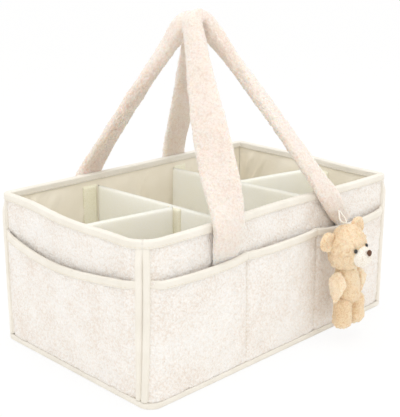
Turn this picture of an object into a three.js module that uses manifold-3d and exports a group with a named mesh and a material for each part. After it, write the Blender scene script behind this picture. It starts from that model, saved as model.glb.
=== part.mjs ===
// Diaper caddy: a soft-walled box of teddy fabric with bound edges, pockets all round, loose
// partitions inside, two padded carrying handles and a stuffed bear hung on a cord loop.
// Millimetres, +Z up. X runs along the long side, the front with the bear faces -Y, and the
// origin is the middle of the underside of the base.
import * as THREE from 'three';
import { mergeVertices } from 'three/addons/utils/BufferGeometryUtils.js';
import Module from 'manifold-3d';

const wasm = await Module();
wasm.setup();

// Box, outside the covers
const bodyLength = 382;
const bodyWidth = 240;
const bodyHeight = 168;
// The seam of the soft corner drifts off the middle of the corner towards its foot, and the corner
// leans out of true towards its rim.
const softCorner = { foot: 12, rim: 24, drift: 9 };
const crispCorner = { foot: 9, rim: 9, drift: 0 };
const cornerApproach = 10;
const softCornerLean = new THREE.Vector3(-4, 4, 0);
const leanReach = 150;
const frontBow = -6;
const backBow = -1;
const endBow = 6;

// Layers of a wall and of the base
const coverThickness = 2.5;
const baseCoverThickness = 2.5;
const boardThickness = 1.6;
const liningThickness = 0.8;
const boardInset = 12;
const layerGap = 0.4;
const clearance = 0.3;

// Bindings
const bindingThickness = 1;
const rimBindingDrop = 8;
const baseBindingWidth = 4;
const baseBindingHeight = 6.5;
const cornerRollWidth = 8;
const cornerRollRise = 3.2;
const cornerSeamThickness = 1;

// Pockets
const pocketThickness = 3;
const longPocketCornerHeight = 131;
const longPocketSeamHeight = 128.5;
const endPocketHeight = 131;
const leftBaySag = 2;
const middleBaySag = 1;
const rightBaySag = 5;
const endPocketSag = 13;
const endPocketLean = 0.5;
const middleBayWidth = 114;
const middleBayGape = 6;
const endPocketGape = 8;
const pocketBindingDrop = 6.5;

// Handles. A leg is the strap where it crosses the rim, seen from outside its wall: its place
// across, its size, the place of its sewn foot, and its turn outwards in degrees half way up.
const frontLeftLeg = { across: -88, foot: -88, width: 40, thickness: 15, turn: 45 };
const frontRightLeg = { across: 65, foot: 104, width: 34, thickness: 15, turn: 15 };
const backLeftLeg = { across: -71, foot: -88, width: 34, thickness: 14, turn: 5 };
const backRightLeg = { across: 66, foot: 88, width: 34, thickness: 14, turn: 15 };
const gripWidth = 24;
const gripThickness = 19;
const gripStart = 0.25;
const legBow = 3;
const sleeveThickness = 3;
const frontApexHeight = 355;
const backApexHeight = 351;
const apexArcRadius = 11;
const apexSpacing = 23;
const apexShift = 11;
const hingeRise = 3;
const tongueWidth = 26;
const tongueThickness = 2;
const tuckDepth = 8;
const strapFootThickness = 5;
const turnEase = 1.8;

// Partitions
const dividerThickness = 4;
const dividerHeight = 158;
const leftDividerBack = -63;
const leftDividerFront = -55;
const rightDividerBack = 58;
const rightDividerFront = 77;
const leftPartitionWallEnd = 2;
const leftPartitionHingeEnd = -16;
const rightPartitionWallEnd = -14;
const rightPartitionHingeEnd = 9;
const tabWidth = 20;
const tabThickness = 1.6;
const tabFootMargin = 14;
const tabTopMargin = 2;

// Bear
const bearAcross = 80;
const bearWallGap = 1.2;
const headWidth = 48;
const headDepth = 40;
const headHeight = 54;
const headCentreHeight = 111.5;
const headShift = -7;
const headTilt = THREE.MathUtils.degToRad(-14);
const headProfile = [[0, -1], [0.68, -0.84], [0.99, -0.32], [0.95, 0.24], [0.6, 0.82], [0, 1]];
const earSize = [22, 9, 22];
const earPlace = [27, 6.4, 14.5];
const eyeSize = [4.4, 4.4, 5];
const eyePlace = [9.6, -18, 2];
const muzzleSize = [25, 20, 20];
const muzzlePlace = [0, -19, -8];
const noseSize = [8, 6, 7];
const nosePlace = [0, -28.6, -3];
const bellyWidth = 34;
const bellyDepth = 30;
const bellyHeight = 52;
const bellyCentreHeight = 70;
const bellyProfile = [[0, -1], [0.66, -0.84], [0.99, -0.3], [0.97, 0.36], [0.6, 0.9], [0, 1]];
const armLength = 31;
const armWidth = 22;
const armThickness = 11;
const armProfile = [[0, -1], [0.5, -0.86], [0.94, -0.5], [1, -0.2], [0.72, 0.05], [0, 0.14]];
const armSeat = 0.2;
const armSplay = THREE.MathUtils.degToRad(8);
const shoulderHeight = 80;
const legRadius = 11;
const legProfile = [[0, -1], [0.72, -0.93], [1, -0.66], [0.92, -0.3], [1, 0]];
const legGap = 1.6;
const hipHeight = 44;
const footHeight = 16;
const cordRadius = 0.9;
const loopHalfWidth = 3.5;
const loopSetBack = 6;
const loopAnchorAcross = 86;
const loopAnchorHeight = 146;

// Places worked out from the sizes above
const wallThickness = coverThickness + boardThickness + liningThickness + 2 * layerGap;
const wallFoot = baseCoverThickness + clearance;
const rimTop = bodyHeight + clearance + bindingThickness;
const rimBindingFoot = rimTop - rimBindingDrop;
const baseBindingTop = clearance + baseBindingHeight;
const pocketFoot = baseBindingTop + clearance;
const strapStandOff = clearance + bindingThickness + 2 * clearance;
const hingeHeight = bodyHeight + hingeRise;

const up = new THREE.Vector3(0, 0, 1);
const across = new THREE.Vector3(1, 0, 0);

// The four walls. Each is drawn as if it were the front one and then turned into place.
// The corner before a wall is at its left end, seen from outside.
const longWall = { half: bodyLength / 2, reach: bodyWidth / 2 };
const endWall = { half: bodyWidth / 2, reach: bodyLength / 2 };
const frontWall = { ...longWall, turn: 0, bow: frontBow, before: softCorner, after: crispCorner };
const rightWall = { ...endWall, turn: Math.PI / 2, bow: endBow, before: crispCorner, after: crispCorner };
const backWall = { ...longWall, turn: Math.PI, bow: backBow, before: crispCorner, after: crispCorner };
const leftWall = { ...endWall, turn: -Math.PI / 2, bow: endBow, before: crispCorner, after: softCorner };

// Turns the faces of a closed mesh outwards.
function faceOutward(geometry) {
  const position = geometry.attributes.position;
  const index = geometry.index.array;
  const corners = [new THREE.Vector3(), new THREE.Vector3(), new THREE.Vector3()];
  let volume = 0;
  for (let i = 0; i < index.length; i += 3) {
    corners.forEach((corner, j) => corner.fromBufferAttribute(position, index[i + j]));
    volume += corners[0].dot(corners[1].cross(corners[2]));
  }
  if (volume < 0) {
    for (let i = 0; i < index.length; i += 3) {
      [index[i], index[i + 1]] = [index[i + 1], index[i]];
    }
  }
  return geometry;
}

// A closed solid through sections with one number of points. A section runs out along one rail
// and back along the other, so that its first and last points face each other.
function loft(sections, closed = false) {
  const count = sections[0].length;
  const index = [];
  const quad = (a, b, c, d) => index.push(a, b, c, a, c, d);
  const spans = closed ? sections.length : sections.length - 1;
  for (let i = 0; i < spans; i += 1) {
    const here = i * count;
    const next = ((i + 1) % sections.length) * count;
    for (let j = 0; j < count; j += 1) {
      const k = (j + 1) % count;
      quad(here + j, here + k, next + k, next + j);
    }
  }
  const last = (sections.length - 1) * count;
  for (let j = 0; !closed && j < count / 2 - 1; j += 1) {
    const mate = count - 1 - j;
    quad(j + 1, j, mate, mate - 1);
    quad(last + j, last + j + 1, last + mate - 1, last + mate);
  }
  const geometry = new THREE.BufferGeometry();
  const numbers = sections.flat().flatMap((point) => point.toArray());
  geometry.setAttribute('position', new THREE.Float32BufferAttribute(numbers, 3));
  geometry.setIndex(index);
  return faceOutward(geometry);
}

function toSolid(geometry) {
  const bare = geometry.clone();
  bare.deleteAttribute('normal');
  bare.deleteAttribute('uv');
  const merged = faceOutward(mergeVertices(bare, 1e-4));
  const vertProperties = Float32Array.from(merged.attributes.position.array);
  const triVerts = Uint32Array.from(merged.index.array);
  return new wasm.Manifold(new wasm.Mesh({ numProp: 3, vertProperties, triVerts }));
}

function toGeometry(solid) {
  const mesh = solid.getMesh();
  const geometry = new THREE.BufferGeometry();
  geometry.setAttribute('position', new THREE.BufferAttribute(mesh.vertProperties, 3));
  geometry.setIndex(new THREE.BufferAttribute(mesh.triVerts, 1));
  return geometry;
}

// Cuts the tools out of a piece.
function cut(piece, ...tools) {
  return toGeometry(tools.reduce((solid, tool) => solid.subtract(toSolid(tool)), toSolid(piece)));
}

function join(first, second) {
  return toGeometry(toSolid(first).add(toSolid(second)));
}

const teddy = { color: 0xf2eadd, roughness: 0.95, metalness: 0 };
const tape = { color: 0xf7f0e2, roughness: 0.85, metalness: 0 };
const lining = { color: 0xe6dcc8, roughness: 0.8, metalness: 0 };
const board = { color: 0xd9d3c4, roughness: 0.7, metalness: 0 };
const foam = { color: 0xf1eee3, roughness: 0.9, metalness: 0 };
const plush = { color: 0xe3c193, roughness: 0.95, metalness: 0 };
const palePlush = { color: 0xf1e9dc, roughness: 0.95, metalness: 0 };
const noseThread = { color: 0x7a573d, roughness: 0.6, metalness: 0 };
const eyeBead = { color: 0x1d1714, roughness: 0.2, metalness: 0 };
const cord = { color: 0xf6f2ea, roughness: 0.8, metalness: 0 };

function piece(name, geometry, look) {
  const mesh = new THREE.Mesh(geometry, new THREE.MeshStandardMaterial(look));
  mesh.name = name;
  return mesh;
}

function groupOf(pieces, turn = 0) {
  const group = new THREE.Group();
  group.rotation.z = turn;
  group.add(...pieces);
  return group;
}

// Half the stretch of a wall that is flat at every corner radius
function flatHalf(wall) {
  return wall.half - softCorner.rim - cornerApproach;
}

function cornerRadius(corner, z) {
  return THREE.MathUtils.lerp(corner.foot, corner.rim, (z / bodyHeight) ** 2);
}

// How far a wall bulges at its rim, fading towards its ends and its foot.
function bowAt(wall, p, z) {
  const share = Math.min(1, Math.abs(p) / flatHalf(wall));
  return wall.bow * Math.cos((share * Math.PI) / 2) ** 2 * (z / bodyHeight) ** 2;
}

// A column of a wall says where a point at height z and at a depth inside the outer face lies.
function straightColumn(p) {
  return { p, locate: (wall, z, depth) => [p, depth - bowAt(wall, p, z)] };
}

// A point at an end of a wall: a distance past the start of the rounded corner, in from the
// outer face by a depth.
function cornerPoint(wall, side, z, past, depth) {
  const radius = cornerRadius(side < 0 ? wall.before : wall.after, z);
  const angle = Math.max(0, past / radius);
  const along = wall.half - radius + Math.min(0, past) + (radius - depth) * Math.sin(angle);
  return [side * along, radius - (radius - depth) * Math.cos(angle)];
}

function seamDrift(corner, z) {
  return corner.drift * (1 - z / bodyHeight);
}

// A column on the way round a corner. Share 1 is the seam between two walls less a margin.
function cornerColumn(wall, side, share, margin) {
  const corner = side < 0 ? wall.before : wall.after;
  return {
    p: side * (wall.half - softCorner.rim * (1 - share)),
    locate: (_, z, depth) => {
      const seam = (cornerRadius(corner, z) * Math.PI) / 4 - side * seamDrift(corner, z);
      const past = THREE.MathUtils.lerp(-cornerApproach, seam - margin, share);
      return cornerPoint(wall, side, z, past, depth);
    },
  };
}

// A point of a wall, moved with the lean of the soft corner where that is near.
function leaned(wall, p, inward, z) {
  const point = new THREE.Vector3(p, inward - wall.reach, z);
  const sides = [[wall.before, -1], [wall.after, 1]].filter(([corner]) => corner === softCorner);
  for (const [, side] of sides) {
    const distance = Math.hypot(p - side * wall.half, inward);
    const share = (z / bodyHeight) ** 2 * (1 - THREE.MathUtils.smoothstep(distance, 0, leanReach));
    point.addScaledVector(softCornerLean.clone().applyAxisAngle(up, -wall.turn), share);
  }
  return point;
}

function wallPoint(wall, column, z, depth) {
  return leaned(wall, ...column.locate(wall, z, depth), z);
}

function span(from, to, steps) {
  return Array.from({ length: steps + 1 }, (_, i) => THREE.MathUtils.lerp(from, to, i / steps));
}

function wallColumns(wall, margin, straight) {
  return [
    ...span(1, 0, 3).map((share) => cornerColumn(wall, -1, share, margin)),
    ...straight.map(straightColumn),
    ...span(0, 1, 3).map((share) => cornerColumn(wall, 1, share, margin)),
  ];
}

// A layer of a wall between two depths.
function layer(wall, columns, levels, outer, inner) {
  return loft(columns.map((column) => [
    ...levels.map((z) => wallPoint(wall, column, z, outer)),
    ...levels.toReversed().map((z) => wallPoint(wall, column, z, inner)),
  ]));
}

function wallLayers(name, wall) {
  const flat = flatHalf(wall) - boardInset;
  const straight = span(-flat, flat, 8);
  const columns = wallColumns(wall, clearance / 2, straight);
  const levels = span(wallFoot, bodyHeight, 4);
  const boardOuter = coverThickness + layerGap;
  const boardInner = boardOuter + boardThickness;
  const boardColumns = straight.map(straightColumn);
  const boardLevels = [wallFoot + boardInset, ...levels.slice(1, -1), bodyHeight - boardInset];
  const liningOuter = boardInner + layerGap;
  return [
    piece(`${name}_cover`, layer(wall, columns, levels, 0, coverThickness), teddy),
    piece(`${name}_board`, layer(wall, boardColumns, boardLevels, boardOuter, boardInner), board),
    piece(`${name}_lining`, layer(wall, columns, levels, liningOuter, wallThickness), lining),
  ];
}

// A pocket hangs open between its seams. A bay is the stretch between two seams.
function bayAt(bays, p) {
  return bays.find((bay) => p <= bay.to) ?? bays[bays.length - 1];
}

function bayShare(bay, p) {
  return THREE.MathUtils.clamp((2 * p - bay.from - bay.to) / (bay.to - bay.from), -1, 1);
}

function pocketEdge(pocket, p) {
  const bay = bayAt(pocket.bays, p);
  const share = bayShare(bay, p);
  const level = THREE.MathUtils.lerp(bay.fromHeight, bay.toHeight, (share + 1) / 2);
  return level - bay.sag * (1 - share ** 2) * (1 - bay.lean * share);
}

function pocketStandOff(pocket, p, z) {
  const bay = bayAt(pocket.bays, p);
  const rise = Math.max(0, (z - pocketFoot) / (pocketEdge(pocket, p) - pocketFoot));
  const seamGap = clearance + rise * (bindingThickness + layerGap);
  return seamGap + bay.gape * (1 - bayShare(bay, p) ** 4) * rise ** 1.3;
}

// A point of a pocket, at an offset outwards from its inner face.
function pocketPoint(wall, pocket, column, z, offset) {
  return wallPoint(wall, column, z, -pocketStandOff(pocket, column.p, z) - offset);
}

function pocketPieces(name, wall, pocket) {
  const margin = cornerRollWidth + 2 * clearance;
  const straight = pocket.bays.flatMap((bay, i) => {
    const from = Math.max(bay.from, -flatHalf(wall));
    const to = Math.min(bay.to, flatHalf(wall));
    const half = (to - from) / 2;
    const stations = span(0, Math.PI, bay.steps).map((angle) => from + half * (1 - Math.cos(angle)));
    return stations.slice(i === 0 ? 1 : 0, -1);
  });
  const columns = wallColumns(wall, margin, straight);
  const panel = loft(columns.map((column) => {
    const edge = pocketEdge(pocket, column.p);
    const levels = [...span(pocketFoot, edge - pocketBindingDrop, 2), edge];
    return [
      ...levels.map((z) => pocketPoint(wall, pocket, column, z, pocketThickness)),
      ...levels.toReversed().map((z) => pocketPoint(wall, pocket, column, z, 0)),
    ];
  }));
  const outside = pocketThickness + layerGap;
  const tapeRail = (grow) => [
    [outside + grow, -pocketBindingDrop],
    [outside + grow, layerGap + grow / 2],
    [pocketThickness / 2, layerGap + grow],
    [-layerGap - grow, layerGap + grow / 2],
    [-layerGap - grow, -pocketBindingDrop],
  ];
  const section = [...tapeRail(0), ...tapeRail(bindingThickness).toReversed()];
  const binding = loft(columns.map((column) => {
    const edge = pocketEdge(pocket, column.p);
    return section.map(([offset, rise]) => pocketPoint(wall, pocket, column, edge + rise, offset));
  }));
  return [piece(`${name}_pocket`, panel, teddy), piece(`${name}_pocket_binding`, binding, tape)];
}

// The pocket's outer bays open far enough for the sewn end of a handle strap behind their edge.
function outerBayGape() {
  const bayWidth = bodyLength / 2 - middleBayWidth / 2;
  const tongueEdge = (2 * (frontLeftLeg.foot + tongueWidth / 2 + bodyLength / 2)) / bayWidth - 1;
  const edge = longPocketSeamHeight - rightBaySag;
  const room = tongueThickness + bindingThickness + layerGap + 2 * clearance;
  return room / ((1 - tongueEdge ** 4) * ((edge - tuckDepth) / edge) ** 1.3);
}

function longPocket() {
  const outer = bodyLength / 2;
  const seam = middleBayWidth / 2;
  const corner = longPocketCornerHeight;
  const sewn = longPocketSeamHeight;
  const gape = outerBayGape();
  const left = { from: -outer, to: -seam, fromHeight: corner, toHeight: sewn, sag: leftBaySag, gape };
  const right = { from: seam, to: outer, fromHeight: sewn, toHeight: corner, sag: rightBaySag, gape };
  const middle = { from: -seam, to: seam, fromHeight: sewn, toHeight: sewn, sag: middleBaySag };
  return {
    bays: [
      { ...left, lean: 0, steps: 6 },
      { ...middle, lean: 0, gape: middleBayGape, steps: 4 },
      { ...right, lean: 0, steps: 6 },
    ],
  };
}

function endPocket() {
  const outer = bodyWidth / 2;
  const level = { fromHeight: endPocketHeight, toHeight: endPocketHeight };
  const hang = { sag: endPocketSag, lean: endPocketLean, gape: endPocketGape };
  return { bays: [{ from: -outer, to: outer, ...level, ...hang, steps: 8 }] };
}

const longPocketForm = longPocket();
const endPocketForm = endPocket();

// A bound corner: two rolls side by side along the seam where two walls meet.
function cornerBinding(wall) {
  const shares = span(-1, 1, 8);
  const levels = span(baseBindingTop + clearance, rimBindingFoot - clearance, 3);
  const corner = (z, share, rise) => {
    const radius = cornerRadius(wall.after, z);
    const offset = share * cornerRollWidth - seamDrift(wall.after, z);
    const past = (radius * Math.PI) / 4 - Math.abs(offset);
    const [p, inward] = cornerPoint(wall, 1, z, past, -clearance - rise);
    const mirrored = [wall.half - inward, wall.half - p];
    const [along, depth] = offset > 0 ? mirrored : [p, inward];
    return leaned(wall, along, depth, z);
  };
  const roll = (share) => {
    const middle = 2 * Math.abs(share) - 1;
    return cornerSeamThickness + cornerRollRise * Math.sqrt(1 - middle ** 2);
  };
  return loft(levels.map((z) => [
    ...shares.map((share) => corner(z, share, roll(share))),
    ...shares.toReversed().map((share) => corner(z, share, 0)),
  ]));
}

// A closed run round all four walls, from a section of depths and heights.
function ringBinding(section, steps) {
  const walls = [frontWall, rightWall, backWall, leftWall];
  return loft(walls.flatMap((wall) => {
    const flat = flatHalf(wall) - boardInset;
    const columns = wallColumns(wall, 0, span(-flat, flat, steps)).slice(1);
    return columns.map((column) => section.map(([depth, z]) => (
      wallPoint(wall, column, z, depth).applyAxisAngle(up, wall.turn)
    )));
  }), true);
}

function rimBinding() {
  const outside = -clearance;
  const inside = wallThickness + clearance;
  const crown = bodyHeight + clearance;
  const rail = (grow) => [
    [outside - grow, rimBindingFoot],
    [outside - grow, crown],
    [outside + bindingThickness, crown + grow],
    [inside - bindingThickness, crown + grow],
    [inside + grow, crown],
    [inside + grow, rimBindingFoot],
  ];
  return ringBinding([...rail(bindingThickness), ...rail(0).toReversed()], 6);
}

function baseBinding() {
  const near = -clearance;
  const far = near - baseBindingWidth;
  const round = baseBindingWidth / 3;
  return ringBinding([
    [near, clearance],
    [far + round, clearance],
    [far, clearance + round],
    [far, baseBindingTop - round],
    [far + round, baseBindingTop],
    [near, baseBindingTop],
  ], 1);
}

// Flat layers of the base, with the rounded outline of the walls drawn in by a depth
function basePlate(depth, thickness, height) {
  const outline = new THREE.Shape();
  [rightWall, backWall, leftWall, frontWall].forEach((wall, i) => {
    const middle = new THREE.Vector2(wall.half - wall.after.foot, wall.after.foot - wall.reach);
    middle.rotateAround(new THREE.Vector2(), wall.turn);
    outline.absarc(middle.x, middle.y, wall.after.foot - depth, (i * Math.PI) / 2, ((i + 1) * Math.PI) / 2);
  });
  const settings = { depth: thickness, bevelEnabled: false, curveSegments: 4 };
  return new THREE.ExtrudeGeometry(outline, settings).translate(0, 0, height);
}

function basePieces() {
  const boardTop = wallFoot + boardThickness;
  const inside = wallThickness + 3 * clearance;
  return [
    piece('base_cover', basePlate(3 * clearance, baseCoverThickness, 0), teddy),
    piece('base_board', basePlate(inside, boardThickness, wallFoot), board),
    piece('base_lining', basePlate(inside, liningThickness, boardTop + clearance), lining),
  ];
}

// Points round a flat section with full round edges.
function strapSection(width, thickness) {
  const radius = thickness / 2;
  const straight = Math.max(0, width / 2 - radius);
  const arc = (side) => span(-Math.PI / 2, Math.PI / 2, 4).map((angle) => [
    side * (straight + radius * Math.cos(angle)),
    side * radius * Math.sin(angle),
  ]);
  return [...arc(1), ...arc(-1)];
}

// Where a strap comes out over its pocket's edge
function strapCollar(leg) {
  return pocketEdge(longPocketForm, leg.foot) + layerGap + bindingThickness + 2 * clearance;
}

// The padding of a strap thins out towards its foot.
function strapPadding(leg, z) {
  const share = THREE.MathUtils.smoothstep(z, strapCollar(leg), rimBindingFoot);
  return THREE.MathUtils.lerp(strapFootThickness, leg.thickness, share);
}

// The end of a strap: thin where it is tucked behind the pocket, full at the rim.
function handleEnd(wall, leg) {
  const collar = strapCollar(leg);
  const tongue = { near: clearance, thickness: tongueThickness, width: tongueWidth };
  const padded = (z, near) => ({ z, near, thickness: strapPadding(leg, z), width: leg.width });
  const levels = [
    { ...tongue, z: pocketEdge(longPocketForm, leg.foot) - tuckDepth },
    { ...tongue, z: collar },
    ...span(collar + tongueThickness, rimBindingFoot - 2 * clearance, 3).map((z) => padded(z, clearance)),
    padded(rimBindingFoot, strapStandOff),
    padded(hingeHeight, strapStandOff),
  ];
  return loft(levels.map(({ z, near, thickness, width }) => {
    const climbed = Math.max(0, (z - collar) / (hingeHeight - collar));
    const centre = THREE.MathUtils.lerp(leg.foot, leg.across, climbed);
    return strapSection(width, thickness).map(([along, out]) => (
      wallPoint(wall, straightColumn(centre + along), z, -near - thickness / 2 - out)
    ));
  }));
}

// Middle of the strap where a leg crosses the hinge line, in the frame of its wall.
function hingePoint(wall, leg) {
  const rim = wallPoint(wall, straightColumn(leg.across), hingeHeight, 0);
  const out = strapStandOff + leg.thickness / 2;
  return new THREE.Vector3(leg.across, rim.y - out, hingeHeight + clearance);
}

// Turn of the strap at a share of the way up a leg: its face looks away from the wall at the
// hinge and away from the handle's opening at the top.
function legTurn(leg, share) {
  const half = THREE.MathUtils.degToRad(leg.turn);
  const fromMiddle = Math.abs(2 * share - 1) ** turnEase;
  return share < 0.5 ? half * (1 - fromMiddle) : half + (Math.PI / 2 - half) * fromMiddle;
}

// Frames along a handle: two straight legs and a round top.
function handleFrames(handle) {
  const feet = [handle.left, handle.right].map((leg) => hingePoint(handle.wall, leg));
  const middle = feet[0].clone().add(feet[1]).divideScalar(2);
  const half = (feet[1].x - feet[0].x) / 2;
  const climb = new THREE.Vector3(middle.x, handle.apexOffset, handle.apexHeight).sub(middle);
  const arcCentre = climb.length() - apexArcRadius;
  const rise = climb.normalize();
  const face = new THREE.Vector3().crossVectors(rise, across).negate();
  const distance = Math.hypot(half, arcCentre);
  const legLength = Math.sqrt(distance ** 2 - apexArcRadius ** 2);
  const tilt = Math.atan2(half, arcCentre) - Math.asin(apexArcRadius / distance);
  const at = (x, w) => middle.clone().addScaledVector(across, x).addScaledVector(rise, w);
  const frame = (point, angle, turn, leg, share) => {
    const outer = across.clone().multiplyScalar(Math.cos(angle)).addScaledVector(rise, Math.sin(angle));
    const along = across.clone().multiplyScalar(Math.sin(angle)).addScaledVector(rise, -Math.cos(angle));
    const normal = outer.multiplyScalar(Math.sin(turn)).addScaledVector(face, Math.cos(turn));
    const fill = THREE.MathUtils.smoothstep(share, gripStart, 1);
    return {
      point,
      normal,
      beside: along.cross(normal),
      width: THREE.MathUtils.lerp(leg.width, gripWidth, fill),
      thickness: THREE.MathUtils.lerp(leg.thickness, gripThickness, fill),
    };
  };
  const legFrames = (leg, foot, side) => span(0, 1, 7).slice(1).map((share) => {
    const length = share * legLength;
    const bow = legBow * Math.sin(share * Math.PI);
    const point = at(side * (half - length * Math.sin(tilt) + bow), length * Math.cos(tilt));
    point.y += (foot.y - middle.y) * (1 - share);
    return frame(point, side > 0 ? tilt : Math.PI - tilt, legTurn(leg, share), leg, share);
  });
  const arc = span(Math.PI - tilt, tilt, 6).slice(1, -1).map((angle) => {
    const point = at(apexArcRadius * Math.cos(angle), arcCentre + apexArcRadius * Math.sin(angle));
    return frame(point, angle, Math.PI / 2, handle.left, 1);
  });
  const footFrame = (leg, point) => ({
    point,
    normal: new THREE.Vector3(0, -1, 0),
    beside: across.clone().multiplyScalar(-Math.sign(leg.across)),
    width: leg.width,
    thickness: leg.thickness,
  });
  return [
    footFrame(handle.left, feet[0]),
    ...legFrames(handle.left, feet[0], -1),
    ...arc,
    ...legFrames(handle.right, feet[1], 1).toReversed(),
    footFrame(handle.right, feet[1]),
  ];
}

// The strap along its frames, thinner all round by an inset.
function strapAlong(frames, inset) {
  return loft(frames.map(({ point, normal, beside, width, thickness }) => (
    strapSection(width - 2 * inset, thickness - 2 * inset).map(([along, out]) => (
      point.clone().addScaledVector(beside, along).addScaledVector(normal, out)
    ))
  )));
}

function handlePieces(name, handle) {
  const frames = handleFrames(handle);
  const drop = new THREE.Vector3(0, 0, -2 * sleeveThickness);
  const lowered = (frame) => ({ ...frame, point: frame.point.clone().add(drop) });
  const through = [lowered(frames[0]), ...frames, lowered(frames[frames.length - 1])];
  const sleeve = cut(strapAlong(frames, 0), strapAlong(through, sleeveThickness));
  const core = strapAlong(frames, sleeveThickness + clearance);
  return groupOf([
    piece(`${name}_handle_sleeve`, sleeve, teddy),
    piece(`${name}_handle_core`, core, foam),
    piece(`${name}_handle_end_left`, handleEnd(handle.wall, handle.left), teddy),
    piece(`${name}_handle_end_right`, handleEnd(handle.wall, handle.right), teddy),
  ], handle.wall.turn);
}

// Partitions stand on the base lining and reach the linings of the walls.
const floorTop = wallFoot + boardThickness + 2 * clearance + liningThickness;
const dividerLevels = span(floorTop + clearance, dividerHeight, 3);
const tabLevels = span(floorTop + tabFootMargin, dividerHeight - tabTopMargin, 3);

// Inner face of a wall's lining, as a distance from the middle of the box.
function liningReach(wall, p, z) {
  return -wallPoint(wall, straightColumn(p), z, wallThickness).y;
}

// Where the middle of a slanting cross divider lies at a given y.
function dividerX(divider, y) {
  const slant = (divider.front - divider.back) / (2 * liningReach(backWall, divider.back, 0));
  return (divider.front + divider.back) / 2 - slant * y;
}

// An upright slab beside a cross divider, between two offsets from its middle.
function dividerSlab(divider, levels, frontAt, backAt, from, to) {
  const face = (offset) => {
    const point = (y, z) => new THREE.Vector3(dividerX(divider, y) + offset, y, z);
    return [
      ...levels.map((z) => point(frontAt(z), z)),
      ...levels.toReversed().map((z) => point(backAt(z), z)),
    ];
  };
  return loft([face(from), face(to)]);
}

// A cross divider from the front wall to the back wall, with the sewn hinge of its partition.
function crossDivider(divider) {
  const half = dividerThickness / 2;
  const reach = (wall, p, z) => Math.min(
    liningReach(wall, p - dividerThickness, z),
    liningReach(wall, p + dividerThickness, z),
  ) - clearance;
  const frontAt = (z) => -reach(frontWall, divider.front, z);
  const backAt = (z) => reach(backWall, -divider.back, z);
  const panel = dividerSlab(divider, dividerLevels, frontAt, backAt, -half, half);
  const { hingeY, side } = divider;
  const strip = dividerSlab(divider, tabLevels, () => hingeY - tabWidth / 2, () => hingeY + tabWidth / 2,
    0, side * (half + tabThickness));
  return join(panel, strip);
}

// A tab lies flat on a wall's lining, from the side of what it holds outwards.
function wallTab(name, wall, p, side) {
  const near = wallThickness + 2 * clearance;
  const from = p + side * (dividerThickness / 2 + 2 * clearance);
  const columns = [from, from + side * tabWidth].map(straightColumn);
  const mesh = piece(name, layer(wall, columns, tabLevels, near, near + tabThickness), foam);
  mesh.rotation.z = wall.turn;
  return mesh;
}

// A partition between an end wall and a cross divider. Its inner end is rounded for the fold.
function partition(divider, wall, wallY) {
  const { hingeY, side } = divider;
  const half = dividerThickness / 2;
  const seat = half + tabThickness + clearance + half;
  const hinge = new THREE.Vector3(dividerX(divider, hingeY) + side * seat, hingeY, 0);
  const far = (z) => {
    const reach = liningReach(wall, side * wallY, z) - tabThickness - 3 * clearance;
    return new THREE.Vector3(side * reach, wallY, 0);
  };
  const heading = far(0).sub(hinge).normalize();
  const beside = new THREE.Vector3().crossVectors(up, heading);
  const section = (pointAt, thickness) => [
    ...dividerLevels.map((z) => pointAt(z).addScaledVector(beside, thickness).setZ(z)),
    ...dividerLevels.toReversed().map((z) => pointAt(z).addScaledVector(beside, -thickness).setZ(z)),
  ];
  const rounding = span(-Math.PI / 2, 0, 3).slice(1).map((angle) => section(
    () => hinge.clone().addScaledVector(heading, half * Math.sin(angle)),
    half * Math.cos(angle),
  ));
  return loft([...rounding, section(far, half)]);
}

function partitionPieces() {
  const left = {
    back: leftDividerBack,
    front: leftDividerFront,
    hingeY: leftPartitionHingeEnd,
    side: -1,
  };
  const right = {
    back: rightDividerBack,
    front: rightDividerFront,
    hingeY: rightPartitionHingeEnd,
    side: 1,
  };
  return [
    piece('left_divider', crossDivider(left), foam),
    wallTab('left_divider_back_tab', backWall, -left.back, 1),
    wallTab('left_divider_front_tab', frontWall, left.front, -1),
    piece('right_divider', crossDivider(right), foam),
    wallTab('right_divider_back_tab', backWall, -right.back, -1),
    wallTab('right_divider_front_tab', frontWall, right.front, 1),
    piece('left_partition', partition(left, leftWall, leftPartitionWallEnd), foam),
    wallTab('left_partition_tab', leftWall, -leftPartitionWallEnd, -1),
    piece('right_partition', partition(right, rightWall, rightPartitionWallEnd), foam),
    wallTab('right_partition_tab', rightWall, rightPartitionWallEnd, -1),
  ];
}

// Stuffed forms: a profile of shares of a radius and a height, lowest first, turned about +Z.
function stuffed(profile, radius, height, segments) {
  const curve = new THREE.SplineCurve(profile.map(([r, z]) => new THREE.Vector2(r * radius, z * height)));
  const points = curve.getPoints(2 * (profile.length - 1));
  points.forEach((point) => point.setX(THREE.MathUtils.clamp(point.x, 0, radius)));
  points[0].setX(0);
  points[points.length - 1].setX(0);
  return new THREE.LatheGeometry(points, segments).rotateX(Math.PI / 2);
}

function ellipsoid(size, place, segments, rings) {
  const ball = new THREE.SphereGeometry(0.5, segments, rings).rotateX(Math.PI / 2);
  return ball.scale(...size).translate(...place);
}

function headForm(grow) {
  const radius = headWidth / 2 + grow;
  const form = stuffed(headProfile, radius, headHeight / 2 + grow, 18);
  return form.scale(1, (headDepth / 2 + grow) / radius, 1);
}

function muzzleForm(grow) {
  return ellipsoid(muzzleSize.map((size) => size + 2 * grow), muzzlePlace, 14, 8);
}

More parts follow.
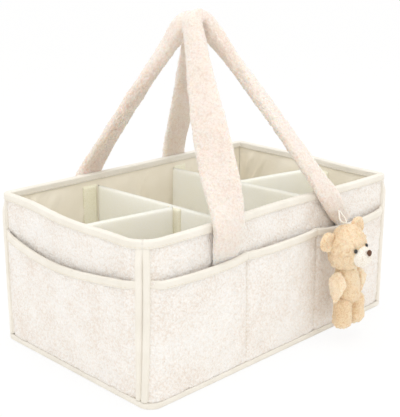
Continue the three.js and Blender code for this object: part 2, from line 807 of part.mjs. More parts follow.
function headPieces() {
  const head = headForm(clearance);
  const muzzle = muzzleForm(clearance);
  const nose = ellipsoid(noseSize, nosePlace, 10, 6);
  const beside = ([x, y, z], side) => [side * x, y, z];
  const ear = (side) => ellipsoid(earSize, beside(earPlace, side), 14, 8);
  const eye = (side) => ellipsoid(eyeSize, beside(eyePlace, side), 10, 6);
  return [
    piece('bear_head', headForm(0), plush),
    piece('bear_muzzle', cut(muzzleForm(0), head), palePlush),
    piece('bear_nose', cut(nose, muzzle), noseThread),
    piece('bear_eye_left', cut(eye(1), head, muzzle), eyeBead),
    piece('bear_eye_right', cut(eye(-1), head, muzzle), eyeBead),
    piece('bear_ear_left', cut(ear(1), head), plush),
    piece('bear_ear_right', cut(ear(-1), head), plush),
  ];
}

function armForm() {
  return stuffed(armProfile, armWidth / 2, armLength, 14).scale(armThickness / armWidth, 1, 1);
}

// A leg with a ball at its top, so that it turns in the socket of the body.
function legForm() {
  const length = hipHeight - footHeight;
  const dome = span(0, Math.PI / 2, 3).slice(1).map((angle) => [
    Math.cos(angle),
    (legRadius / length) * Math.sin(angle),
  ]);
  return stuffed([...legProfile, ...dome], legRadius, length, 14);
}

function bellyForm() {
  const form = stuffed(bellyProfile, bellyWidth / 2, bellyHeight / 2, 16);
  return form.scale(1, bellyDepth / bellyWidth, 1);
}

// The bear hangs clear of the fullest part of the front pocket.
function bearDepth() {
  const bay = longPocketForm.bays[2];
  const middle = straightColumn((bay.from + bay.to) / 2);
  const edge = pocketEdge(longPocketForm, middle.p);
  const outside = pocketThickness + layerGap + bindingThickness;
  const face = pocketPoint(frontWall, longPocketForm, middle, edge, outside);
  return face.y - bearWallGap - headDepth / 2;
}

function bearGroup() {
  const depth = bearDepth();
  const headTool = headForm(clearance).rotateY(headTilt)
    .translate(headShift, 0, headCentreHeight);
  const hipX = legRadius + legGap / 2;
  const socket = (side) => new THREE.SphereGeometry(legRadius + 2 * clearance, 14, 10)
    .translate(side * hipX, 0, hipHeight);
  const belly = bellyForm().translate(0, 0, bellyCentreHeight);
  const bear = groupOf([piece('bear_body', cut(belly, headTool, socket(1), socket(-1)), plush)]);
  bear.position.set(bearAcross, depth, 0);
  const head = groupOf(headPieces());
  head.position.set(headShift, 0, headCentreHeight);
  head.rotation.y = headTilt;
  bear.add(head);
  for (const [name, side] of [['left', 1], ['right', -1]]) {
    const arm = piece(`bear_arm_${name}`, armForm(), plush);
    const lean = armSeat * armLength * Math.sin(armSplay);
    arm.position.set(side * (bellyWidth / 2 + armThickness / 2 + clearance - lean), 0, shoulderHeight);
    arm.rotation.y = -side * armSplay;
    const leg = piece(`bear_leg_${name}`, legForm(), plush);
    leg.position.set(side * hipX, 0, hipHeight);
    bear.add(arm, leg);
  }
  return bear;
}

// The loop runs from the strap's face down to the top of the bear's head.
function bearLoop() {
  const strapFace = wallPoint(frontWall, straightColumn(loopAnchorAcross), loopAnchorHeight, 0).y
    - clearance - strapPadding(frontRightLeg, loopAnchorHeight);
  const anchorDepth = strapFace - cordRadius - clearance;
  const anchor = new THREE.Vector3(loopAnchorAcross, anchorDepth, loopAnchorHeight);
  const setBackShare = (2 * loopSetBack) / headDepth;
  const headTop = headCentreHeight + (headHeight / 2) * Math.sqrt(1 - setBackShare ** 2);
  const crownHeight = headTop + cordRadius + clearance;
  const crown = new THREE.Vector3(bearAcross + headShift, bearDepth() + loopSetBack, crownHeight);
  const run = crown.clone().sub(anchor);
  const length = run.length();
  const heading = run.normalize();
  const facing = new THREE.Vector3().crossVectors(across, heading).normalize();
  const beside = new THREE.Vector3().crossVectors(heading, facing);
  const rings = span(0, 2 * Math.PI, 16).slice(1).map((angle) => {
    const out = beside.clone().multiplyScalar(Math.sin(angle)).addScaledVector(heading, -Math.cos(angle));
    const centre = anchor.clone()
      .addScaledVector(heading, (length / 2) * (1 - Math.cos(angle)))
      .addScaledVector(beside, loopHalfWidth * Math.sin(angle));
    return span(0, 2 * Math.PI, 6).slice(1).map((turn) => centre.clone()
      .addScaledVector(out, cordRadius * Math.cos(turn))
      .addScaledVector(facing, cordRadius * Math.sin(turn)));
  });
  return piece('bear_loop', loft(rings, true), cord);
}

function cornerPiece(name, wall) {
  const mesh = piece(`${name}_corner_binding`, cornerBinding(wall), tape);
  mesh.rotation.z = wall.turn;
  return mesh;
}

function wallPieces(name, wall, pocket) {
  return groupOf([...wallLayers(name, wall), ...pocketPieces(name, wall, pocket)], wall.turn);
}

const frontHandle = {
  wall: frontWall,
  left: frontLeftLeg,
  right: frontRightLeg,
  apexHeight: frontApexHeight,
  apexOffset: apexShift - apexSpacing / 2,
};
const backHandle = {
  wall: backWall,
  left: backLeftLeg,
  right: backRightLeg,
  apexHeight: backApexHeight,
  apexOffset: -apexShift - apexSpacing / 2,
};

const caddy = new THREE.Group();
caddy.add(
  ...basePieces(),
  wallPieces('front', frontWall, longPocketForm),
  wallPieces('right', rightWall, endPocketForm),
  wallPieces('back', backWall, longPocketForm),
  wallPieces('left', leftWall, endPocketForm),
  cornerPiece('front_right', frontWall),
  cornerPiece('back_right', rightWall),
  cornerPiece('back_left', backWall),
  cornerPiece('front_left', leftWall),
  piece('rim_binding', rimBinding(), tape),
  piece('base_binding', baseBinding(), tape),
  handlePieces('front', frontHandle),
  handlePieces('back', backHandle),
  ...partitionPieces(),
  bearLoop(),
  bearGroup(),
);

export default caddy;
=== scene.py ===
# Diaper caddy in teddy cloth: pockets, bound edges, foam partitions, padded handles and a stuffed bear.
# Places are in millimetres up to the moment a vertex is set, the scene itself is in metres.
import math

import bmesh
import bpy
from mathutils import Matrix, Vector, noise


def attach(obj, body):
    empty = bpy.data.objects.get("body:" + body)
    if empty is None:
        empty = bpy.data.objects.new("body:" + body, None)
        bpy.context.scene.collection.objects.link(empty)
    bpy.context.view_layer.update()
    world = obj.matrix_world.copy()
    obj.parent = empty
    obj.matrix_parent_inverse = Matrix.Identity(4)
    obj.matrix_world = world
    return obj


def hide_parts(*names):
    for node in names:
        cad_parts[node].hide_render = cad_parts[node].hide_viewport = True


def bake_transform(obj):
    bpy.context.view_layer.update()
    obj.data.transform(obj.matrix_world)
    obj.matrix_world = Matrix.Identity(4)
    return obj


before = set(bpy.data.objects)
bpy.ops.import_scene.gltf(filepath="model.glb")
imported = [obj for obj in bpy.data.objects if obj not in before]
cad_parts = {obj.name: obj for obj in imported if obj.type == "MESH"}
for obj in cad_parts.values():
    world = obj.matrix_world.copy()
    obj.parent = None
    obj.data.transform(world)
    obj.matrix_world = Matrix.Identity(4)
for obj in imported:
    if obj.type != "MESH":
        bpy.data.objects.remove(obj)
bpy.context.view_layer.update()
mm = 0.001
up = Vector((0, 0, 1))
across = Vector((1, 0, 0))
print("frame loaded")


# camera first
view = {"place": (-0.7036, -0.7064, 0.4344), "azimuth": -44.7, "elevation": 16.5, "lens": 77.6, "sensor": 36}


def addCamera():
    turn, tilt = math.radians(view["azimuth"]), math.radians(view["elevation"])
    right = Vector((math.cos(turn), math.sin(turn), 0))
    back = Vector((math.sin(turn) * math.cos(tilt), -math.cos(turn) * math.cos(tilt), math.sin(tilt)))
    pose = Matrix((right, back.cross(right), back)).transposed().to_4x4()
    pose.translation = view["place"]
    data = bpy.data.cameras.new("camera")
    data.lens = view["lens"]
    data.sensor_width = view["sensor"]
    shot = bpy.data.objects.new("camera", data)
    shot.matrix_world = pose
    bpy.context.scene.collection.objects.link(shot)
    bpy.context.scene.camera = shot


addCamera()
print("camera set")


# small helpers
def lerp(a, b, share):
    return a + (b - a) * share


def clamp(x, low=0.0, high=1.0):
    return max(low, min(high, x))


def ease(x, start=0.0, end=1.0):
    t = clamp((x - start) / (end - start))
    return t * t * (3 - 2 * t)


def linear(rgb):  # 0-255 screen colour to a socket value
    out = [(c / 255 / 12.92 if c <= 10 else ((c / 255 + 0.055) / 1.055) ** 2.4) for c in rgb]
    return (*out, 1)


def wave(x, y, z, size, seed=0):  # smooth noise from -1 to 1
    return noise.noise(Vector((x / size + seed * 7.3, y / size - seed * 3.1, z / size + seed * 5.7)))


def squared(value, power):  # draws a round section out towards a square one
    return math.copysign(abs(value) ** power, value)


def objectFrom(bm, name, material):
    mesh = bpy.data.meshes.new(name)
    bm.to_mesh(mesh)
    bm.free()
    mesh.shade_smooth()
    mesh.materials.append(material)
    obj = bpy.data.objects.new(name, mesh)
    bpy.context.scene.collection.objects.link(obj)
    return obj


def camelName(node):  # a piece is named for the node that it replaces
    first, *words = node.split("_")
    return first + "".join(word.title() for word in words)


def dress(obj, slotName, *nodes, body="caddy"):  # what a piece rides on and replaces; slotName is not used
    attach(obj, body)
    if nodes:
        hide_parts(*nodes)


# a grid laid over a surface: place(u, v) gives millimetres, u runs to the right and v up seen from outside
def clothGrid(columns, rows, place, size=(1, 1), closed=False):
    bm = bmesh.new()
    bmesh.ops.create_grid(bm, x_segments=columns, y_segments=rows, size=0.5)
    uvLayer = bm.loops.layers.uv.new("cloth")
    for face in bm.faces:
        for loop in face.loops:
            loop[uvLayer].uv = ((loop.vert.co.x + 0.5) * size[0] * mm, (loop.vert.co.y + 0.5) * size[1] * mm)
    for vert in bm.verts:
        vert.co = Vector(place(clamp(vert.co.x + 0.5), clamp(vert.co.y + 0.5))) * mm
    if closed:
        bmesh.ops.remove_doubles(bm, verts=bm.verts, dist=0.02 * mm)
        bmesh.ops.recalc_face_normals(bm, faces=bm.faces)
    return bm


def thicken(obj, thickness):
    wall = obj.modifiers.new("thickness", "SOLIDIFY")
    wall.thickness = thickness * mm
    wall.offset = -1
    wall.use_even_offset = False


pile = {"nubSize": 3.0, "nubRise": 1.5, "lumpSize": 9, "lumpRise": 1.5, "contrast": 2.2}
plushPile = {"nubSize": 2.2, "lumpSize": 5, "lumpShare": 1.2}
pileMiddle = {"CLOUDS": 0.5, "VORONOI": 0.4}
pileTextures = {}


def pileTexture(kind, size):
    key = (kind, size)
    if key not in pileTextures:
        texture = bpy.data.textures.new(f"pile{kind.title()}{len(pileTextures)}", type=kind)
        texture.noise_scale = size * mm
        texture.contrast = pile["contrast"] if kind == "CLOUDS" else 1.0
        pileTextures[key] = texture
    return pileTextures[key]


def displace(obj, name, kind, size, rise):
    lift = obj.modifiers.new(name, "DISPLACE")
    lift.texture = pileTexture(kind, size)
    lift.texture_coords = "LOCAL"
    lift.strength = rise * mm
    lift.mid_level = pileMiddle[kind]


def raisePile(obj, form):  # curled nubs standing up out of uneven cloth
    displace(obj, "lump", "CLOUDS", pile["lumpSize"], form["lumps"] * pile["lumpRise"])
    displace(obj, "nub", "VORONOI", pile["nubSize"], -form["nubs"] * pile["nubRise"])


def raiseNap(obj, rise):  # the bear's shorter, brushed plush
    displace(obj, "nap", "CLOUDS", plushPile["lumpSize"], rise * plushPile["lumpShare"])
    displace(obj, "nap", "VORONOI", plushPile["nubSize"], -rise)


# materials
def nodeTree(name):
    material = bpy.data.materials.new(name)
    material.use_nodes = True
    tree = material.node_tree
    return material, tree, tree.nodes["Principled BSDF"]


def link(tree, source, target):
    tree.links.new(source, target)


def setSockets(node, values):
    for name, value in values.items():
        node.inputs[name].default_value = value


def noiseNode(tree, coords, scale, detail=2.0, roughness=0.5):
    node = tree.nodes.new("ShaderNodeTexNoise")
    setSockets(node, {"Scale": scale, "Detail": detail, "Roughness": roughness})
    link(tree, coords, node.inputs["Vector"])
    return node


def rampNode(tree, factor, stops):
    node = tree.nodes.new("ShaderNodeValToRGB")
    while len(node.color_ramp.elements) < len(stops):
        node.color_ramp.elements.new(0.5)
    for element, (at, colour) in zip(node.color_ramp.elements, stops):
        element.position = at
        element.color = linear(colour)
    link(tree, factor, node.inputs["Fac"])
    return node


def mathNode(tree, operation, *values):
    node = tree.nodes.new("ShaderNodeMath")
    node.operation = operation
    for socket, value in zip(node.inputs, values):
        if isinstance(value, (int, float)):
            socket.default_value = value
        else:
            link(tree, value, socket)
    return node.outputs[0]


def bumpNode(tree, height, strength, distance, normal=None):
    node = tree.nodes.new("ShaderNodeBump")
    setSockets(node, {"Strength": strength, "Distance": distance * mm})
    link(tree, height, node.inputs["Height"])
    if normal:
        link(tree, normal, node.inputs["Normal"])
    return node.outputs["Normal"]


pileShader = {
    "driftScale": 0.5, "wispScale": 1.6, "fineScale": 3, "smooth": 0.4, "between": 0.5, "curl": 0.7,
    "shade": 0.4, "stops": (0.2, 0.36, 0.52), "fineBump": 0.5, "fineRise": 0.3, "roughSpan": 0.12,
    "roughDown": 0.06, "sheenRough": 0.5, "specular": 0.15, "stray": (1.0, 0.78, 0.6), "depth": 0, "reach": 1,
}
wovenShader = {
    "distortion": 0.6, "weave": 0.25, "shade": 0.75, "stops": (0.36, 0.66), "roughSpan": 0.15,
    "roughDown": 0.07, "puckerRise": 1.2, "threadRise": 0.12,
}


def pileMaterial(name, look, *colours):  # curled or brushed pile, from a darker colour between curls, which is painted shade, to their tips
    look = {**pileShader, **look}
    material, tree, shader = nodeTree(name)
    coords = tree.nodes.new("ShaderNodeTexCoord").outputs["Object"]
    drift = noiseNode(tree, coords, look["curlScale"] * look["driftScale"], 1)
    bent = tree.nodes.new("ShaderNodeVectorMath")
    bent.operation = "MULTIPLY_ADD"
    bent.inputs[1].default_value = (look["twist"] * mm,) * 3
    link(tree, drift.outputs["Color"], bent.inputs[0])
    link(tree, coords, bent.inputs[2])
    knot = tree.nodes.new("ShaderNodeTexVoronoi")
    knot.feature = "SMOOTH_F1"
    setSockets(knot, {"Scale": look["curlScale"], "Smoothness": look["smooth"]})
    link(tree, bent.outputs[0], knot.inputs["Vector"])
    between = knot.outputs["Distance"]  # 0 on a curl, more between curls
    wisp = noiseNode(tree, coords, look["curlScale"] * look["wispScale"], 3, 0.65).outputs["Fac"]
    shade = noiseNode(tree, coords, look["shadeScale"], 2).outputs["Fac"]
    curl = mathNode(tree, "SUBTRACT", wisp, mathNode(tree, "MULTIPLY", between, look["between"]))
    mixed = mathNode(tree, "ADD", mathNode(tree, "MULTIPLY", curl, look["curl"]),
                     mathNode(tree, "MULTIPLY", shade, look["shade"]))
    # the darker stops fall between the curls: painted shade, mixed with random mottle
    colour = rampNode(tree, mixed, list(zip(look["stops"], colours)))
    link(tree, colour.outputs["Color"], shader.inputs["Base Color"])
    rough = mathNode(tree, "MULTIPLY_ADD", wisp, look["roughSpan"], look["roughness"] - look["roughDown"])
    link(tree, rough, shader.inputs["Roughness"])
    first = bumpNode(tree, curl, look["bump"], look["curlRise"])
    fine = noiseNode(tree, coords, look["curlScale"] * look["fineScale"], 2, 0.6).outputs["Fac"]
    second = bumpNode(tree, fine, look["bump"] * look["fineBump"], look["curlRise"] * look["fineRise"], first)
    link(tree, second, shader.inputs["Normal"])
    setSockets(shader, {
        "Sheen Weight": look["sheen"], "Sheen Roughness": look["sheenRough"],
        "Specular IOR Level": look["specular"],
        "Subsurface Weight": look["depth"],  # light that strays in the pile
        "Subsurface Radius": look["stray"], "Subsurface Scale": look["reach"] * mm,
    })
    return material


def wovenMaterial(name, look, *colours):  # plain weave along the piece's own map, with soft wear
    look = {**wovenShader, **look}
    material, tree, shader = nodeTree(name)
    coordNode = tree.nodes.new("ShaderNodeTexCoord")
    threads = []
    for direction in ("X", "Y"):
        rib = tree.nodes.new("ShaderNodeTexWave")
        rib.wave_type = "BANDS"
        rib.bands_direction = direction
        setSockets(rib, {"Scale": look["threadScale"], "Distortion": look["distortion"], "Detail": 1})
        link(tree, coordNode.outputs["UV"], rib.inputs["Vector"])
        threads.append(rib.outputs["Fac"])
    weave = mathNode(tree, "MAXIMUM", *threads)
    shade = noiseNode(tree, coordNode.outputs["Object"], look["shadeScale"], 3).outputs["Fac"]
    mixed = mathNode(tree, "ADD", mathNode(tree, "MULTIPLY", weave, look["weave"]),
                     mathNode(tree, "MULTIPLY", shade, look["shade"]))
    colour = rampNode(tree, mixed, list(zip(look["stops"], colours)))
    link(tree, colour.outputs["Color"], shader.inputs["Base Color"])
    rough = mathNode(tree, "MULTIPLY_ADD", shade, look["roughSpan"], look["roughness"] - look["roughDown"])
    link(tree, rough, shader.inputs["Roughness"])
    slack = noiseNode(tree, coordNode.outputs["Object"], look["puckerScale"], 2).outputs["Fac"]
    first = bumpNode(tree, slack, look["pucker"], look["puckerRise"])
    link(tree, bumpNode(tree, weave, look["bump"], look["threadRise"], first), shader.inputs["Normal"])
    setSockets(shader, {"Sheen Weight": look["sheen"], "Specular IOR Level": look["specular"]})
    return material


teddyLook = {
    "twist": 2.2, "curlScale": 380, "shadeScale": 26, "curlRise": 1.6, "bump": 0.8, "roughness": 0.94,
    "sheen": 0.2,
}
strapLook = {**teddyLook, "bump": 0.7, "depth": 0.7, "reach": 9}
plushLook = {
    "twist": 1.4, "curlScale": 620, "shadeScale": 40, "curlRise": 1.1, "bump": 0.7, "roughness": 0.93,
    "sheen": 0.3, "depth": 0.4, "reach": 4,
}
armLook = {**plushLook, "bump": 0.6}
paleLook = {
    "twist": 1.2, "curlScale": 700, "shadeScale": 60, "curlRise": 0.8, "bump": 0.5, "roughness": 0.93,
    "sheen": 0.3,
}
foamLook = {
    "twist": 0.6, "curlScale": 900, "shadeScale": 20, "curlRise": 0.22, "bump": 0.3, "roughness": 0.9,
    "sheen": 0.1,
}
boardLook = {
    "twist": 1, "curlScale": 300, "shadeScale": 30, "curlRise": 0.1, "bump": 0.2, "roughness": 0.75,
    "sheen": 0.0,
}
tapeLook = {
    "threadScale": 420, "shadeScale": 40, "puckerScale": 160, "pucker": 0.25, "bump": 0.35, "roughness": 0.82,
    "sheen": 0.15, "specular": 0.25,
}
liningLook = {
    "threadScale": 520, "shadeScale": 18, "puckerScale": 55, "pucker": 0.3, "bump": 0.25, "roughness": 0.72,
    "sheen": 0.1, "specular": 0.35,
}
cordLook = {
    "threadScale": 900, "shadeScale": 120, "puckerScale": 900, "pucker": 0.4, "bump": 0.5, "roughness": 0.8,
    "sheen": 0.1, "specular": 0.25,
}
noseLook = {
    "threadScale": 700, "shadeScale": 300, "puckerScale": 600, "pucker": 0.4, "bump": 0.8, "roughness": 0.6,
    "sheen": 0.1, "specular": 0.4,
}
threadLook = {
    "threadScale": 1500, "shadeScale": 90, "puckerScale": 700, "pucker": 0.3, "bump": 0.4, "roughness": 0.7,
    "sheen": 0.1, "specular": 0.3,
}
# the first colour of each pile is painted shade between its curls
teddyCloth = pileMaterial("teddyCloth", teddyLook, (240, 229, 218), (249, 243, 236), (253, 250, 246))
strapCloth = pileMaterial("strapCloth", strapLook, (230, 214, 202), (237, 226, 216), (241, 233, 225))
bearPlush = pileMaterial("bearPlush", plushLook, (226, 194, 153), (240, 213, 177), (247, 228, 198))
# a lighter copy of the bear plush for the arms: painted light that lifts the shade where they hang
litArmPlush = pileMaterial("litArmPlush", armLook, (234, 206, 170), (245, 223, 193), (250, 235, 211))
palePlush = pileMaterial("palePlush", paleLook, (226, 215, 198), (243, 236, 224), (251, 248, 241))
foamCloth = pileMaterial("foamCloth", foamLook, (251, 250, 237), (254, 253, 244), (255, 255, 249))
tabCloth = pileMaterial("tabCloth", foamLook, (238, 233, 206), (246, 242, 219), (251, 248, 231))
boardCard = pileMaterial("boardCard", boardLook, (205, 198, 182), (216, 210, 196), (224, 218, 205))
cottonTape = wovenMaterial("cottonTape", tapeLook, (231, 225, 213), (239, 234, 224))
liningCloth = wovenMaterial("liningCloth", liningLook, (241, 232, 212), (251, 244, 229))
loopCord = wovenMaterial("loopCord", cordLook, (236, 228, 212), (250, 246, 238))
noseThread = wovenMaterial("noseThread", noseLook, (92, 58, 36), (142, 98, 66))
seamThread = wovenMaterial("seamThread", threadLook, (232, 222, 203), (247, 241, 228))
beadLook = {
    "cloudScale": 900, "stops": (0.3, 0.75), "colours": ((18, 13, 11), (44, 31, 25)),
    "roughness": 0.25, "coat": 0.6,
}


def beadMaterial():
    material, tree, shader = nodeTree("eyeBead")
    coords = tree.nodes.new("ShaderNodeTexCoord").outputs["Object"]
    cloud = noiseNode(tree, coords, beadLook["cloudScale"], 2).outputs["Fac"]
    colour = rampNode(tree, cloud, list(zip(beadLook["stops"], beadLook["colours"])))
    link(tree, colour.outputs["Color"], shader.inputs["Base Color"])
    link(tree, mathNode(tree, "MULTIPLY", cloud, beadLook["roughness"]), shader.inputs["Roughness"])
    shader.inputs["Coat Weight"].default_value = beadLook["coat"]
    return material


eyeBead = beadMaterial()
print("materials made")


# the box: a wall is drawn as the front one and turned into place, its corners are rounded
box = {
    "length": 382, "width": 240, "height": 168, "approach": 10, "depth": 5.7, "foot": 2.8, "floor": 5.8,
    "underRim": 0.6, "backRise": 0.021, "riseFrom": -60, "riseTo": 115,
}
softCorner = {"foot": 12, "rim": 29, "drift": 9, "lean": Vector((-4, 4, 0)), "leanReach": 150}
crispCorner = {"foot": 9, "rim": 9, "drift": 0}
longWall = {"half": box["length"] / 2, "reach": box["width"] / 2}
endWall = {"half": box["width"] / 2, "reach": box["length"] / 2}
walls = {
    "front": {**longWall, "turn": 0, "bow": -6, "before": softCorner, "after": crispCorner},
    "right": {**endWall, "turn": math.pi / 2, "bow": 6, "before": crispCorner, "after": crispCorner},
    "back": {**longWall, "turn": math.pi, "bow": -1, "before": crispCorner, "after": crispCorner},
    "left": {**endWall, "turn": -math.pi / 2, "bow": 6, "before": crispCorner, "after": softCorner},
}


def turned(point, angle):
    x, y, z = point
    return Vector((x * math.cos(angle) - y * math.sin(angle), x * math.sin(angle) + y * math.cos(angle), z))


def cornerRadius(corner, z):
    return lerp(corner["foot"], corner["rim"], (z / box["height"]) ** 2)


def bowAt(wall, p, z):
    flat = wall["half"] - softCorner["rim"] - box["approach"]
    return wall["bow"] * math.cos(min(1, abs(p) / flat) * math.pi / 2) ** 2 * (z / box["height"]) ** 2


def seamDrift(corner, z):
    return corner["drift"] * (1 - z / box["height"])


def seamReach(wall, side, z):  # distance from a wall's middle to its corner seam, along the cloth
    corner = wall["before" if side < 0 else "after"]
    radius = cornerRadius(corner, z)
    return wall["half"] - radius + radius * math.pi / 4 - math.copysign(seamDrift(corner, z), side)


def leaned(wall, p, inward, z):  # the soft corner leans out of true towards its rim
    point = Vector((p, inward - wall["reach"], z))
    for corner, side in ((wall["before"], -1), (wall["after"], 1)):
        if corner is softCorner:
            distance = math.hypot(p - side * wall["half"], inward)
            share = (z / box["height"]) ** 2 * (1 - ease(distance, 0, corner["leanReach"]))
            point += turned(corner["lean"], -wall["turn"]) * share
    return point


def wallLocal(wall, q, z, depth):  # q runs along the cloth from the wall's middle
    side = -1 if q < 0 else 1
    radius = cornerRadius(wall["before" if side < 0 else "after"], z)
    past = abs(q) - (wall["half"] - radius)
    if past <= 0:
        p, inward = q, depth - bowAt(wall, q, z)
    else:
        angle = past / radius
        p = side * (wall["half"] - radius + (radius - depth) * math.sin(angle))
        inward = radius - (radius - depth) * math.cos(angle)
    return leaned(wall, p, inward, z)


def lifted(point):  # the box stands a little higher towards its back
    point.z *= 1 + box["backRise"] * ease(point.y, box["riseFrom"], box["riseTo"])
    return point


def wallAt(wall, q, z, depth):
    return lifted(turned(wallLocal(wall, q, z, depth), wall["turn"]))


def spread(wall, u, z, margin):  # place along a wall for u from 0 to 1
    share = 2 * u - 1
    return share * (seamReach(wall, share, z) - margin)


coverForm = {
    "columns": 1.9, "rows": 72, "crowd": 0.75, "margin": 0.2, "thickness": 2, "lumps": 0.6, "nubs": 0.7,
    "slack": 0.7, "slackSize": 48, "slackIn": 0.4, "slackOut": 0.2,
}


def addCover(name):
    wall = walls[name]
    low, high = box["foot"], box["height"] - box["underRim"]

    def place(u, v):
        z = lerp(low, high, v ** coverForm["crowd"])
        q = spread(wall, u, z, coverForm["margin"])
        slack = coverForm["slack"] * (wave(q, z, wall["turn"], coverForm["slackSize"]) - coverForm["slackIn"])
        return wallAt(wall, q, z, -min(coverForm["slackOut"], slack))
    columns = int(2 * wall["half"] / coverForm["columns"])
    bm = clothGrid(columns, coverForm["rows"], place, (2 * wall["half"], box["height"]))
    cover = objectFrom(bm, f"{name}WallCloth", teddyCloth)
    raisePile(cover, coverForm)
    thicken(cover, coverForm["thickness"])
    dress(cover, "teddy", f"{name}_cover")


liningForm = {
    "columns": 2.6, "rows": 56, "margin": 0.4, "thickness": 0.7, "lift": 0.2, "corner": (10, 26),
    "crease": 3.4, "creaseSize": 20, "across": 1.7, "down": 0.9, "soft": 0.6, "softSize": 60,
    "pleat": 3.2, "pleatFrom": 60, "pleatTo": 22, "pleatAcross": 0.3, "pleatDown": 0.16,
    "pleatRise": (30, 120), "floor": (8, 50), "rim": (148, 160), "rimFlat": 0.8,
}


def creaseAt(wall, q, z):  # folds run slantwise down from the rim and flatten at the floor
    form = liningForm
    slant = wave(q * form["across"] + z * form["down"], 0, wall["turn"], form["creaseSize"], 2)
    soft = wave(q, z, wall["turn"], form["softSize"], 5)
    fold = form["crease"] * max(0, slant) + form["soft"] * max(0, soft)
    ends = ease(abs(q), wall["half"] - form["pleatFrom"], wall["half"] - form["pleatTo"])
    ripple = max(0, math.sin(q * form["pleatAcross"] + z * form["pleatDown"]))
    pleat = form["pleat"] * ends * ripple * ease(z, *form["pleatRise"])
    return (fold + pleat) * ease(z, *form["floor"]) * (1 - form["rimFlat"] * ease(z, *form["rim"]))


def addLining(name):
    wall = walls[name]
    low, high = box["floor"] + liningForm["lift"], box["height"] - box["underRim"]

    def place(u, v):
        z = lerp(high, low, v)  # top down, so that the cloth faces into the box
        q = spread(wall, u, z, liningForm["margin"])
        keep = ease(wall["half"] - abs(q), *liningForm["corner"])
        return wallAt(wall, q, z, box["depth"] + creaseAt(wall, q, z) * keep)
    columns = int(2 * wall["half"] / liningForm["columns"])
    bm = clothGrid(columns, liningForm["rows"], place, (2 * wall["half"], box["height"]))
    cloth = objectFrom(bm, f"{name}Lining", liningCloth)
    thicken(cloth, liningForm["thickness"])
    dress(cloth, "lining", f"{name}_lining")


for wallName in walls:
    addCover(wallName)
    addLining(wallName)
    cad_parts[f"{wallName}_board"].data.materials[0] = boardCard
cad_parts["base_board"].data.materials[0] = boardCard
print("walls covered and lined")


# floor and underside
baseForm = {
    "columns": 96, "rows": 60, "thickness": 2, "inset": 0.5, "sink": 0.25, "swell": 0.4, "swellSize": 34,
    "swellEdge": (8, 30), "underInset": 0.9, "underEdge": 0.45, "underDrop": 0.35, "underRound": (1, 9),
}


def outlinePoint(u, v, depth):  # a square grid drawn out to the rounded outline of the walls at the foot
    halfX, halfY = box["length"] / 2 - depth, box["width"] / 2 - depth
    x, y = (2 * u - 1) * halfX, (2 * v - 1) * halfY
    corner = softCorner if x < 0 and y < 0 else crispCorner
    radius = max(0.5, corner["foot"] - depth)
    overX, overY = abs(x) - (halfX - radius), abs(y) - (halfY - radius)
    if overX > 0 and overY > 0:
        shrink = max(overX, overY) / math.hypot(overX, overY)
        x = math.copysign(halfX - radius + overX * shrink, x)
        y = math.copysign(halfY - radius + overY * shrink, y)
    return x, y


def edgeDistance(x, y):
    return min(box["length"] / 2 - abs(x), box["width"] / 2 - abs(y))


def addBase():
    form = baseForm

    def floorPlace(u, v):
        x, y = outlinePoint(u, v, box["depth"] + form["inset"])
        swell = 0.5 * (1 + wave(x, y, 0, form["swellSize"])) * ease(edgeDistance(x, y), *form["swellEdge"])
        return x, y, box["floor"] - form["sink"] + form["swell"] * swell

    def underPlace(u, v):
        x, y = outlinePoint(1 - u, v, form["underInset"])
        return x, y, form["underEdge"] - form["underDrop"] * ease(edgeDistance(x, y), *form["underRound"])
    for place, name, material, thickness, slotName, node in (
            (floorPlace, "floorLining", liningCloth, liningForm["thickness"], "lining", "base_lining"),
            (underPlace, "baseCloth", teddyCloth, form["thickness"], "teddy", "base_cover")):
        bm = clothGrid(form["columns"], form["rows"], place, (box["length"], box["width"]))
        cloth = objectFrom(bm, name, material)
        thicken(cloth, thickness)
        dress(cloth, slotName, node)


addBase()
print("base made")


# pockets
pocketForm = {
    "foot": 7.1, "thickness": 3, "cloth": 2.2, "proud": 0.1, "cell": 1.4, "lumps": 0.75, "nubs": 0.95,
    "slack": 0.9, "slackSize": 42, "slackIn": 0.6, "near": 0.3, "lift": 1.4, "gapePower": 1.3,
    "seamWidth": 2.2, "seamDent": 1.2, "level": 100, "fadeLow": (0, 0.15), "fadeHigh": (0.9, 0.97),
    "fadeSide": (0.01, 0.06),
}
pocketTape = {
    "inside": -1.3, "outside": 1.5, "drop": 6.5, "rise": 1.5, "turns": 8, "pucker": 0.25, "puckerSize": 7,
    "seamDent": 0.8, "cell": 2, "width": 24, "level": 130,
}
tapeThickness = 0.8
longBays = [
    {"from": -191, "to": -57, "fromHeight": 131, "toHeight": 128.5, "sag": 2, "lean": 0, "gape": 4.2},
    {"from": -57, "to": 57, "fromHeight": 128.5, "toHeight": 128.5, "sag": 1, "lean": 0, "gape": 4},
    {"from": 57, "to": 191, "fromHeight": 128.5, "toHeight": 131, "sag": 5, "lean": 0, "gape": 4.2},
]
endBays = [{"from": -120, "to": 120, "fromHeight": 131, "toHeight": 131, "sag": 13, "lean": 0.5, "gape": 3.6}]
pockets = {"front": longBays, "back": longBays, "left": endBays, "right": endBays}
tuckForm = {"margin": 5.5, "run": 12, "offset": 1.5}  # the sides of a pocket go in under the corner tape


def bayAt(bays, p):
    for bay in bays:
        if p <= bay["to"]:
            return bay
    return bays[-1]


def bayShare(bay, p):
    return clamp((2 * p - bay["from"] - bay["to"]) / (bay["to"] - bay["from"]), -1, 1)


def pocketEdge(bays, p):
    bay = bayAt(bays, p)
    share = bayShare(bay, p)
    level = lerp(bay["fromHeight"], bay["toHeight"], (share + 1) / 2)
    return level - bay["sag"] * (1 - share ** 2) * (1 - bay["lean"] * share)


def standOff(bays, p, z):
    bay = bayAt(bays, p)
    rise = max(0, (z - pocketForm["foot"]) / (pocketEdge(bays, p) - pocketForm["foot"]))
    gape = bay["gape"] * (1 - bayShare(bay, p) ** 4) * rise ** pocketForm["gapePower"]
    return pocketForm["near"] + rise * pocketForm["lift"] + gape


